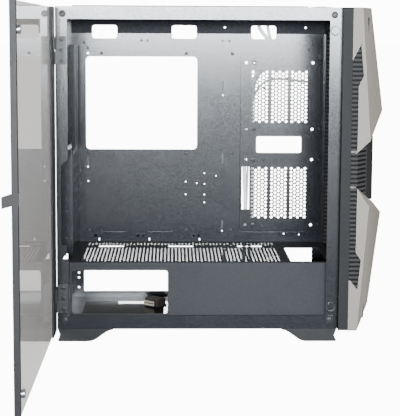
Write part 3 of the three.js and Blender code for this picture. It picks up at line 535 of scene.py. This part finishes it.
# %% Dress the CAD pieces
dress(body_paint, 0.3, "front_frame", "slot_retainer", *(f"catch_magnet_{level}" for level in LEVELS))
dress(hinge_paint, 0.3, *(f"{part}_hinge_{level}" for part in ("case", "door") for level in LEVELS))
dress(black_plastic, 0.5, "door_edge_bar", "door_hinge_strip", "io_housing", "power_button",
      "reset_button", *(f"foot_{end}_{side}" for end in ("rear", "front") for side in SIDES))
dress(vent_plastic, 0.2, "front_core")
dress(dark_plastic, 0.6, "bezel_frame", "front_spine")
dress(silver_plastic, 0.7, *(f"{level}_wing_{side}" for level in LEVELS for side in SIDES))
dress(zinc, 0.15, *(f"door_stud_{level}" for level in LEVELS))
dress(door_glass, 0.5, "door_glass")
dress(filter_mesh, 0.3, "top_filter", "psu_filter")

# %% [markdown]
# ## Punched sheet metal
#
# The big steel panels are full of holes. A factory punches them, and so does this lesson: a copy of the
# CAD panel is cut with one mesh for each group of punches. Real holes let light through and throw real
# shadows, which no picture of holes can do.

# %% Outlines for punches
def circle(a, b, radius, sides=8):
    """A round outline about (a, b)."""
    turns = [(i + 0.5) * 2 * math.pi / sides for i in range(sides)]
    return [(a + radius * math.cos(turn), b + radius * math.sin(turn)) for turn in turns]


def capsule(a0, b0, a1, b1, width, steps=4):
    """A slot with round ends from (a0, b0) to (a1, b1)."""
    heading = math.atan2(b1 - b0, a1 - a0)
    outline = []
    for a, b, start in ((a1, b1, heading - math.pi / 2), (a0, b0, heading + math.pi / 2)):
        for i in range(steps + 1):
            angle = start + math.pi * i / steps
            outline.append((a + width / 2 * math.cos(angle), b + width / 2 * math.sin(angle)))
    return outline


def staggered(a0, b0, columns, rows, da, db, radius, keep=lambda a, b: True):
    """Round holes in columns, where every other column is half a step out. keep says which ones are made."""
    spots = [(a0 + c * da, b0 + (r + (c % 2) / 2) * db) for c in range(columns) for r in range(rows - c % 2)]
    return [circle(a, b, radius) for a, b in spots if keep(a, b)]


# %% Cutting a panel
AXES = {"x": lambda a, b, c: at(c, a, b), "u": lambda a, b, c: at(a, c, b), "z": lambda a, b, c: at(a, b, c)}


def prism(mesh, axis, outline, start, end):
    """Adds a prism to a bmesh: an outline square to one axis, from start to end along it."""
    place = AXES[axis]
    rings = [[mesh.verts.new(place(a, b, c)) for a, b in outline] for c in (start, end)]
    mesh.faces.new(rings[0])
    mesh.faces.new(reversed(rings[1]))
    for i in range(len(outline)):
        j = (i + 1) % len(outline)
        mesh.faces.new((rings[0][j], rings[0][i], rings[1][i], rings[1][j]))


def new_piece(name, mesh, material, body="case"):
    """An object from a bmesh, with its finish, riding on a body."""
    data = bpy.data.meshes.new(name)
    mesh.to_mesh(data)
    mesh.free()
    data.materials.append(material)
    made = bpy.data.objects.new(name, data)
    scene.collection.objects.link(made)
    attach(made, body)
    return made


def subtract(piece, punches):
    """Cuts a bmesh of punches out of a piece for good."""
    bmesh.ops.recalc_face_normals(punches, faces=punches.faces)
    data = bpy.data.meshes.new("punches")
    punches.to_mesh(data)
    punches.free()
    tool = bpy.data.objects.new("punches", data)
    scene.collection.objects.link(tool)
    press = piece.modifiers.new("press", "BOOLEAN")
    press.operation = "DIFFERENCE"
    press.solver = "MANIFOLD"
    press.object = tool
    bpy.context.view_layer.update()
    shaped = bpy.data.meshes.new_from_object(piece.evaluated_get(bpy.context.evaluated_depsgraph_get()))
    piece.modifiers.remove(press)
    piece.data = shaped
    bpy.data.objects.remove(tool)


FLAT_ENOUGH = math.radians(0.5)


def punched(name, node, groups, width_mm=0.25, paint=body_paint):
    """A copy of a CAD panel with holes. Each group of them is (axis, start, end, outlines)."""
    mesh = bmesh.new()
    mesh.from_mesh(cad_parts[node].data)
    bmesh.ops.remove_doubles(mesh, verts=mesh.verts, dist=SAME_POINT)
    bmesh.ops.recalc_face_normals(mesh, faces=mesh.faces)
    panel = new_piece(name, mesh, paint)
    count = 0
    for axis, start, end, outlines in groups:
        punches = bmesh.new()
        for outline in outlines:
            prism(punches, axis, outline, start, end)
        count += len(outlines)
        subtract(panel, punches)
    if width_mm:
        flat = bmesh.new()
        flat.from_mesh(panel.data)
        bmesh.ops.dissolve_limit(flat, angle_limit=FLAT_ENOUGH, verts=flat.verts, edges=flat.edges)
        flat.to_mesh(panel.data)
        flat.free()
    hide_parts(node)
    round_edges(panel, width_mm, segments=1)
    print(f"{name}: {count} holes, {len(panel.data.polygons)} faces")
    return panel


# %% [markdown]
# The side fan plate carries two blocks of vent holes, in three groups of five columns each.

# %% Side fan plate
TRAY_X = 180.0
PLATE_X = TRAY_X - 5
GROMMET_U = 295.2
VENT = {"da": 5.45, "db": 6.0, "radius": 2.25}
plate_holes = []
for first_row in (137.4, 290.4):
    for first_column in (293.6, 324.8, 355.8):
        plate_holes += staggered(first_column, first_row, 5, 14, **VENT)
plate_holes.append(circle(GROMMET_U, 383.3, 2.6, 12))
punched("fan_plate", "side_fan_plate", [("x", PLATE_X - 1, PLATE_X + 2, plate_holes)], 0.35)

# %% [markdown]
# The tray has small holes for stand-offs and ties. Two pockets and the outline of the fan plate are
# pressed into it. The strip above the tray lies further in, and its shade is painted on with a dull copy of
# the paint.

# %% Motherboard tray
SMALL_HOLES = [
    (188, 193.4), (205.5, 190.9), (217.6, 207), (236.4, 202.7), (217.7, 189.8), (188, 173.1), (217.7, 172.8),
    (217.8, 160.1), (33, 194.1), (345.3, 109.5), (369.9, 108.0), (246.4, 331.5), (246.4, 114), (32.7, 217),
]
TIE_SLOTS = [(50, 100), (130.1, 100), (210.3, 100)]
UPRIGHT = [(333.5, 353), (220.5, 238.5), (116.5, 130.5)]
LINKS = [(117.5, 417, 127, 417), (245.5, 417, 256, 417), (27.5, 414, 33.7, 404.8), (389.2, 414, 380.8, 403.5)]
LOOPS = [(42, 55), (109, 122), (199.5, 211)]
POCKETS = [(56.8, 89.5), (131, 164)]
PLATE_EDGE = (272.6, 399.4, 112.2, 395.0)
GROOVE = 1.8
APART = 0.01
tray_holes = [circle(u, z, 1.1) for u, z in SMALL_HOLES]
tray_holes += [capsule(u, z - 1.2, u, z + 1.4, 1.5) for u, z in TIE_SLOTS]
tray_holes += [circle(u, z, 4.2) for u in (282.9, 387.9) for z in (383.1, 278.1, 229.7, 124.7)]
pressed = [capsule(u0, 116.3, u1, 116.3, 7.6) for u0, u1 in POCKETS]
u0, u1, z0, z1 = PLATE_EDGE
foot_z = z0 + GROOVE + APART
head_z = z1 - GROOVE - APART
pressed += [[(a, c), (b, c), (b, d), (a, d)] for a, b, c, d in (
    (u0, u1, z0, z0 + GROOVE), (u0, u1, z1 - GROOVE, z1),
    (u0, u0 + GROOVE, foot_z, head_z), (u1 - GROOVE, u1, foot_z, head_z))]
strip_holes = [circle(u, 438, 1.5) for u in (248.8, 376.4)]
tray = punched("tray", "motherboard_tray", [
    ("x", TRAY_X - 1, TRAY_X + 2, tray_holes), ("x", TRAY_X - 1, TRAY_X + 0.65, pressed),
    ("x", TRAY_X + 2.5, TRAY_X + 5, strip_holes)], 0)

# The strip's faces take the dull copy of the paint, as painted shade.
tray.data.materials.append(painted_shade_coat)
shaded = len(tray.data.materials) - 1
for face in tray.data.polygons:
    if (face.center.x - CORNER.x) / MM > TRAY_X + 2:
        face.material_index = shaded

# %% [markdown]
# The tray ends in a narrow fold behind the shroud, and the plate that holds the slot covers ends in
# another. Both close the slits that daylight would come through.

# %% Folds
def fold(name, x0, x1, u0, u1, z0, z1):
    """A folded strip of sheet."""
    mesh = bmesh.new()
    prism(mesh, "x", [(u0, z0), (u1, z0), (u1, z1), (u0, z1)], x0, x1)
    bmesh.ops.recalc_face_normals(mesh, faces=mesh.faces)
    round_edges(new_piece(name, mesh, shroud_paint), 0.2, segments=1)


fold("tray_fold", 181.1, 181.9, 18.5, 406, 94.0, 98.4)
fold("retainer_fold", 55.0, 55.8, 0.3, 9.0, 97.2, 114.0)

# %% [markdown]
# The shroud's top is nearly all vent, and so is the floor under the power supply. The rear panel has a
# round grille for a fan, and holes that would cross its rim are simply left out.

# %% Shroud and floor
def clear_of_slots(u, x):
    """Whether a vent misses the strip of slots along the shroud's top."""
    return not 129 < x < 151


def screen(x0, x1, u0, u1, underside, top):
    """A pocket from below that thins a sheet to a screen."""
    return ("z", underside, top, [[(x0, u0), (x1, u0), (x1, u1), (x0, u1)]])


SHROUD_POCKET = 95.92
FLOOR_POCKET = 0.8
shroud_vents = staggered(36, 22, 54, 25, VENT["da"], VENT["db"], 2.5, keep=clear_of_slots)
punched("shroud", "psu_shroud", [
    screen(19, 128, 33, 326, 94.5, SHROUD_POCKET), screen(152, 170, 33, 326, 94.5, SHROUD_POCKET),
    ("z", 94.5, 98, [[(x, u) for u, x in outline] for outline in shroud_vents])], paint=shroud_paint)

floor_vents = staggered(27, 30, 27, 23, **VENT)
punched("bottom", "bottom_panel", [
    screen(26, 176, 26, 166, -0.5, FLOOR_POCKET), ("z", -0.5, 1.5, floor_vents)])

# %% Rear and top
FAN_X = 64.0
FAN_Z = 352.0
FAN_RADIUS = 54.0
FAN_SCREW = 52.5


def in_fan(x, z):
    """Whether a vent lies inside the round grille."""
    return math.hypot(x - FAN_X, z - FAN_Z) < FAN_RADIUS


fan_vents = staggered(FAN_X - 11 * VENT["da"], FAN_Z - 10 * VENT["db"], 23, 21, **VENT, keep=in_fan)
corners = [(dx, dz) for dx in (-FAN_SCREW, FAN_SCREW) for dz in (-FAN_SCREW, FAN_SCREW)]
fan_screws = [circle(FAN_X + dx, FAN_Z + dz, 2.3) for dx, dz in corners]
post_holes = [circle(15.5, z, 1.6) for z in (17.5, 33.5, 41.5)]
punched("rear", "rear_panel", [
    ("u", -0.5, 1.5, fan_vents + fan_screws), ("x", WIDTH - 4, WIDTH + 1, post_holes)])

top_vents = staggered(34, 42, 20, 30, 7.0, 9.6, 3.6)
punched("top", "top_panel", [("z", HEIGHT - 1.5, HEIGHT + 0.5, top_vents)], 0.35)

# %% [markdown]
# ## Turned and pressed small parts
#
# Screws, studs and knobs are turned on a lathe, so they are made the same way here: a short profile of
# radius and distance is spun about an axis. A cross recess is then cut out of the head, as a punch would
# do it.

# %% Lathe and screws
DOORWARDS = Vector((-1, 0, 0))


def lathe(mesh, profile, centre, along=DOORWARDS, sides=24, ridge=0.0):
    """Spins (radius, distance) pairs about an axis. A ridge makes every other side stand proud."""
    across = along.orthogonal().normalized()
    beside = along.cross(across)
    rings = []
    for radius, distance in profile:
        middle = centre + along * distance * MM
        if radius == 0:
            rings.append([mesh.verts.new(middle)])
            continue
        ring = []
        for i in range(sides):
            turn = 2 * math.pi * i / sides
            reach = (radius + (ridge if i % 2 else 0.0)) * MM
            outwards = across * math.cos(turn) + beside * math.sin(turn)
            ring.append(mesh.verts.new(middle + outwards * reach))
        rings.append(ring)
    for low, high in zip(rings, rings[1:]):
        for i in range(sides):
            j = (i + 1) % sides
            corners = (low[i % len(low)], low[j % len(low)], high[j % len(high)], high[i % len(high)])
            mesh.faces.new(tuple(dict.fromkeys(corners)))
    bmesh.ops.recalc_face_normals(mesh, faces=mesh.faces)


def plus(u, z, reach, width, angle):
    """The outline of a cross recess."""
    half = width / 2
    arm = [(reach, -half), (reach, half), (half, half)]
    points = []
    for quarter in range(4):
        turn = math.radians(angle) + quarter * math.pi / 2
        cosine = math.cos(turn)
        sine = math.sin(turn)
        points += [(u + a * cosine - b * sine, z + a * sine + b * cosine) for a, b in arm]
    return points


def phillips(name, u, z, face, radius, height, angle, material, node=None, shank=2.5):
    """A pan-head screw with a cross recess, its head standing on a face that looks to the door side."""
    mesh = bmesh.new()
    lathe(mesh, [(0, -2.2), (shank * 0.55, -2.2), (shank * 0.55, 0), (radius, 0), (radius, height * 0.45),
                 (radius * 0.86, height * 0.85), (radius * 0.6, height), (0, height)], at(face, u, z))
    screw = new_piece(name, mesh, material)
    recess = bmesh.new()
    cross = plus(u, z, radius * 0.58, radius * 0.27, angle)
    prism(recess, "x", cross, face - height - 1, face - height * 0.2)
    subtract(screw, recess)
    if node:
        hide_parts(node)
    round_edges(screw, 0.06, segments=1)


# %% [markdown]
# Every screw was driven until it was tight, and none of them stopped at the same angle. The turn of each
# recess comes from its place in the list, so the result is the same each time.

# %% Corner and hinge screws
CORNER_SCREWS = {
    "top_rear": (10.8, 455.7), "top_front": (397, 455.7),
    "bottom_rear": (10.8, 13), "bottom_front": (397, 13)}
# A thin black rim round each corner screw is painted shade for the recess it sits in.
SHADE_RIM = [(3.85, -0.5), (3.85, 0.1), (4.4, 0.2), (4.9, 0.05), (4.9, -0.5), (3.85, -0.5)]
mesh = bmesh.new()
for u, z in CORNER_SCREWS.values():
    lathe(mesh, SHADE_RIM, at(0, u, z), sides=36)
shade_rims = new_piece("screw_shade_rims", mesh, black_screw)
round_edges(shade_rims, 0)
for i, (corner, (u, z)) in enumerate(CORNER_SCREWS.items()):
    phillips(f"screw_{corner}", u, z, 0, 3.8, 0.9, 20 + 37 * i, black_screw, f"corner_screw_{corner}")
HINGE_MIDDLES = {"upper": 404.0, "lower": 45.5}
HINGE_SCREW_U = 9.4
HINGE_SCREW_RISE = 15.3
for level, middle in HINGE_MIDDLES.items():
    for i in range(3):
        z = middle + (i - 1) * HINGE_SCREW_RISE
        phillips(f"leaf_screw_{level}_{i + 1}", HINGE_SCREW_U, z, 0, 3.0, 0.8, 10 + 31 * i, black_screw,
                 f"hinge_screw_{level}_{i + 1}")
    for i in (-1, 1):
        z = middle + i * HINGE_SCREW_RISE / 2
        phillips(f"leaf_rivet_{level}_{i + 2}", HINGE_SCREW_U, z, 0, 1.5, 0.5, 45, black_screw, shank=1.2)
print("10 driven screws and 4 small ones")

# %% [markdown]
# The catch magnets are painted over with the case. A thin black ring round each one is painted shade for the
# gap round it.

# %% Rings round the magnets
MAGNET_U = 398.4
MAGNET_ROWS = (433.2, 33.3)
MAGNET_SHADE_RING = [(5.9, -0.6), (5.9, 0.12), (6.5, 0.2), (6.7, 0.02), (6.7, -0.6), (5.9, -0.6)]
mesh = bmesh.new()
for z in MAGNET_ROWS:
    lathe(mesh, MAGNET_SHADE_RING, at(0, MAGNET_U, z), sides=40)
# The black rings are painted shade.
rings = new_piece("magnet_shade_rings", mesh, hinge_paint)
round_edges(rings, 0)

# %% [markdown]
# The fan plate is held by black screws, some of them in rubber rings, so that a fan's hum does not pass
# into the steel. The tray's stand-offs are small black hexagons. They all read as small dark dots, which
# is most of what makes the tray look like a real one.

# %% Rings and small screws on the tray
def rubber_ring(name, u, z, face, radius):
    """A rubber grommet about a hole."""
    mesh = bmesh.new()
    lathe(mesh, [(radius * 0.45, -1.2), (radius * 0.45, 0.5), (radius * 0.6, 0.9), (radius * 0.85, 0.8),
                 (radius, 0.3), (radius, -0.3), (radius * 0.7, -1.2), (radius * 0.45, -1.2)], at(face, u, z))
    ring = new_piece(name, mesh, hinge_paint)
    round_edges(ring, 0)


FAN_ROWS = (383.3, 279.0, 229.3, 124.7)
for i, z in enumerate(FAN_ROWS):
    rubber_ring(f"grommet_{i + 1}", GROMMET_U, z, PLATE_X, 3.4)
    phillips(f"plate_screw_{i + 1}", 399.9, z - 0.5, TRAY_X, 2.6, 1.4, 15 + 40 * i, black_screw)
    if i:
        phillips(f"grommet_screw_{i + 1}", GROMMET_U, z, PLATE_X, 1.9, 1.1, 30 * i, black_screw, shank=1.0)
for i, z in enumerate((342.9, 229.3, 122.5)):
    phillips(f"fan_screw_{i + 1}", 311, z, PLATE_X, 2.0, 1.2, 33 * i, black_screw)

STANDOFFS = [(188.3, 396.8), (55.2, 397), (33.4, 239.3), (188.3, 239.3), (260.7, 239.3), (33.4, 114.9),
             (188.3, 114.9), (260.7, 114.9), (260.7, 396.8)]
STANDOFF = [
    (0, -1.4), (1.4, -1.4), (1.4, 0), (2.7, 0), (2.7, 2.6), (2.3, 3.0), (1.3, 3.0), (1.3, 1.4), (0, 1.4)]
for i, (u, z) in enumerate(STANDOFFS):
    mesh = bmesh.new()
    lathe(mesh, STANDOFF, at(TRAY_X, u, z), sides=6)
    standoff = new_piece(f"standoff_{i + 1}", mesh, black_screw)
    round_edges(standoff, 0.1, segments=1)
print(f"{len(STANDOFFS)} stand-offs, {len(FAN_ROWS)} rubber rings")

# %% [markdown]
# Cable ties are threaded through lances: narrow bridges of steel pushed up out of the tray between two
# cuts. Each one here is a thin bent bar. The small ones near the tray's upper edge have a dark stop at
# both ends, and dark upright inserts stand for the tall slots.

# %% Lances and loops for cable ties
def bent_bar(mesh, start, end, width, rise, steps=8):
    """A flat bar that arches up off the tray from one (u, z) to another."""
    run = Vector((end[0] - start[0], end[1] - start[1]))
    side = Vector((-run.y, run.x)).normalized() * width / 2
    rows = []
    for i in range(steps + 1):
        share = i / steps
        middle = Vector(start) + run * share
        lift = rise * math.sin(math.pi * share) ** 0.6
        row = []
        for off, sink in ((side, 0.0), (-side, 0.0), (-side, 0.9), (side, 0.9)):
            row.append(mesh.verts.new(at(TRAY_X - lift - 0.2 + sink, middle.x + off.x, middle.y + off.y)))
        rows.append(row)
    for low, high in zip(rows, rows[1:]):
        for i in range(4):
            j = (i + 1) % 4
            mesh.faces.new((low[i], low[j], high[j], high[i]))
    mesh.faces.new(rows[0])
    mesh.faces.new(reversed(rows[-1]))
    bmesh.ops.recalc_face_normals(mesh, faces=mesh.faces)


LOOP_Z = 106.5
POCKET_LIP_Z = 111.2
mesh = bmesh.new()
for u0, z0, u1, z1 in LINKS:
    bent_bar(mesh, (u0, z0), (u1, z1), 1.8, 0.5)
for u0, u1 in LOOPS:
    bent_bar(mesh, (u0, LOOP_Z), (u1, LOOP_Z), 4.6, 2.6)
for u0, u1 in POCKETS:
    bent_bar(mesh, (u0 + 1, POCKET_LIP_Z), (u1 - 1, POCKET_LIP_Z), 2.0, 1.2)
lances = new_piece("lances", mesh, body_paint)
round_edges(lances, 0.2, segments=1)

STOP = [(0, -1.1), (1.9, -1.1), (1.9, 0.1), (1.5, 0.35), (0, 0.35)]
PROUD = TRAY_X - 0.25
BEHIND = TRAY_X + 1.3
UPRIGHT_U = 246.4
SHORT_UPRIGHT_U = 32.7
mesh = bmesh.new()
for u0, z0, u1, z1 in LINKS:
    for u, z in ((u0, z0), (u1, z1)):
        lathe(mesh, STOP, at(TRAY_X, u, z), sides=12)
for low, high in UPRIGHT:
    prism(mesh, "x", capsule(UPRIGHT_U, low + 3, UPRIGHT_U, high, 2.8), PROUD, BEHIND)
prism(mesh, "x", capsule(SHORT_UPRIGHT_U, 219, SHORT_UPRIGHT_U, 231, 2.2), PROUD, BEHIND)
bmesh.ops.recalc_face_normals(mesh, faces=mesh.faces)
blanks = new_piece("tie_stops", mesh, hinge_paint)
round_edges(blanks, 0.1, segments=1)
print(f"{len(LINKS)} lances, {len(LOOPS)} loops, {len(POCKETS)} pockets")

# %% [markdown]
# ## The knob, the plugs and the pull tab
#
# The cover over the expansion slots is held by one screw that is turned by hand, so its head is tall and
# knurled.

# %% Knurled thumbscrew
KNOB = [
    (0, -12.2), (1.5, -12.2), (1.5, 0), (3.6, 0), (3.9, 0.5), (3.9, 6.6), (3.5, 7.4), (2.4, 7.9), (2.2, 7.3),
    (0, 7.3)]
mesh = bmesh.new()
lathe(mesh, KNOB, at(60.1, 13.5, 259.8), sides=36, ridge=0.3)
knob = new_piece("thumbscrew", mesh, zinc)
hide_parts("slot_thumbscrew")
round_edges(knob, 0.08, segments=1)

# %% [markdown]
# Each plug is a moulded shell with a stepped grip and a block of contacts at its mouth. It is built along
# its own length at the end of its cable, so the helper works out the heading from the last stretch of the
# cable.

# %% Plugs
def box_part(mesh, place, low, high):
    """A block between two corners, moved by a matrix."""
    made = bmesh.ops.create_cube(mesh, size=1.0)["verts"]
    size = [b - a for a, b in zip(low, high)]
    middle = [(a + b) / 2 for a, b in zip(low, high)]
    for vert in made:
        local = Vector([m + s * value for m, s, value in zip(middle, size, vert.co)])
        vert.co = place @ (local * MM)


def plug(name, node, route, length, width, height, rows, columns):
    """A header plug: shell, mouth and grip ribs in one piece, contacts in another."""
    (x0, u0, _), (x1, u1, _) = route[-2:]
    heading = math.atan2(-(u1 - u0), x1 - x0)
    place = Matrix.Translation(at(x1, u1, 1.3)) @ Matrix.Rotation(heading, 4, "Z")
    half = width / 2
    shell = bmesh.new()
    box_part(shell, place, (0.3, -half, 0), (length, half, height))
    box_part(shell, place, (length - 0.2, -half + 1.5, 1.5), (length + 4.8, half - 1.5, height - 1.5))
    for rib in range(3):
        start = 3 + rib * 3.2
        box_part(shell, place, (start, -half + 2, height - 0.2), (start + 1.4, half - 2, height + 0.35))
    body = new_piece(name, shell, plug_plastic)
    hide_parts(node)
    round_edges(body, 0.6)
    pins = bmesh.new()
    pitch = (width - 5) / columns
    rise = (height - 3) / rows
    for row in range(rows):
        for column in range(columns):
            side = -half + 2.5 + (column + 0.5) * pitch
            up_by = 1.5 + (row + 0.5) * rise
            box_part(pins, place, (length + 4.0, side - pitch * 0.33, up_by - rise * 0.33),
                     (length + 5.0, side + pitch * 0.33, up_by + rise * 0.33))
    contacts = new_piece(f"{name}_contacts", pins, contact_metal)
    round_edges(contacts, 0)
    return body, contacts


usb_parts = plug("usb_header", "usb_plug", USB_ROUTE, 20, 26, 12, 2, 5)
sound_parts = plug("sound_header", "audio_plug", AUDIO_ROUTE, 14, 13, 8, 2, 3)
button_parts = plug("button_header", "lead_plug", LEAD_ROUTE, 14, 9, 6, 1, 2)

# %% [markdown]
# The pull tab is a short strip of webbing on the door's free edge. It keeps the CAD's shape, with rounded
# edges and a woven finish.

# %% Pull tab
mesh = bmesh.new()
mesh.from_mesh(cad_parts["pull_tab"].data)
bmesh.ops.remove_doubles(mesh, verts=mesh.verts, dist=SAME_POINT)
bmesh.ops.dissolve_limit(mesh, angle_limit=math.radians(1), verts=mesh.verts, edges=mesh.edges)
tab = new_piece("webbing_tab", mesh, strap, body="door")
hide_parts("pull_tab")
round_edges(tab, 0.35, segments=3)

# %% [markdown]
# ## Slot covers
#
# Each cover is a folded strip with a row of slanted vents, level with its own middle.

# %% Slot cover vents
FIRST_VENT_X = 76
COVER_VENT_PITCH = 8.6
COVER_VENTS = 11
for i in range(1, 8):
    node = f"slot_cover_{i}"
    low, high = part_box(node)
    middle_z = (low.z + high.z) / 2 / MM - CORNER.z / MM
    vents = []
    for step in range(COVER_VENTS):
        x = FIRST_VENT_X + step * COVER_VENT_PITCH
        vents.append(capsule(x, middle_z - 4.2, x + 3.2, middle_z + 4.2, 2.6))
    punched(f"cover_{i}", node, [("u", 15, 21, vents)], 0.2)

# %% [markdown]
# ## Floor and light
#
# The tower stands in a plain white room. A long low light behind the camera, just higher than the case,
# gives the steel its slope from bright at the top to dark at the foot. A warm square one beyond the front
# lights the wings. The floor and the room look white to the camera, but the steel sees them much darker
# and so keeps its contrast.

# %% Floor
def by_sight(tree, seen, through, otherwise):
    """One value where the camera looks straight at it, one through glass, and one for all other light."""
    path = tree.nodes.new("ShaderNodeLightPath").outputs
    sharp = add_node(tree, "ShaderNodeMath", {
        0: path["Is Transmission Ray"], 1: path["Is Singular Ray"]}, operation="MAXIMUM").outputs[0]
    behind = add_node(tree, "ShaderNodeMapRange", {
        "Value": sharp, "To Min": otherwise, "To Max": through}).outputs[0]
    return add_node(tree, "ShaderNodeMapRange", {
        "Value": path["Is Camera Ray"], "To Min": behind, "To Max": seen}).outputs[0]


mesh = bmesh.new()
bmesh.ops.create_circle(mesh, cap_ends=True, segments=64, radius=40)
floor_data = bpy.data.meshes.new("floor")
mesh.to_mesh(floor_data)
mesh.free()
WARM_WHITE = (1.0, 0.99, 0.975, 1)
floor_finish, tree, shader = principled("floor_paper", Base_Color=(0.22, 0.218, 0.215, 1), Roughness=0.9)
shader.inputs["Emission Color"].default_value = WARM_WHITE
tree.links.new(by_sight(tree, seen=12.0, through=0.9, otherwise=0.0), shader.inputs["Emission Strength"])
floor_data.materials.append(floor_finish)
floor = bpy.data.objects.new("floor", floor_data)
floor.location.z = cad_box[0].z - 0.0005
scene.collection.objects.link(floor)

# %% Light
world = bpy.data.worlds.new("studio")
world.use_nodes = True
sky = world.node_tree.nodes["Background"]
sky.inputs["Color"].default_value = WARM_WHITE
glow = by_sight(world.node_tree, seen=13.0, through=1.25, otherwise=0.28)
world.node_tree.links.new(glow, sky.inputs["Strength"])
scene.world = world


def soft_box(name, place, aim, size, watts, colour):
    """A rectangular soft light at one point, aimed at another."""
    light = bpy.data.lights.new(name, "AREA")
    light.shape = "RECTANGLE"
    light.size, light.size_y = size
    light.energy = watts
    light.color = colour
    made = bpy.data.objects.new(name, light)
    made.location = place
    made.rotation_euler = (aim - place).to_track_quat("-Z", "Y").to_euler()
    scene.collection.objects.link(made)


soft_box("strip", at(-3300, 170, 590), at(0, 170, 590), (3.4, 0.3), 380, (0.9, 0.95, 1.0))
soft_box("side", at(-900, 2100, 500), at(0, 420, 250), (1.2, 1.2), 55, (1.0, 0.96, 0.91))
print("lights set")
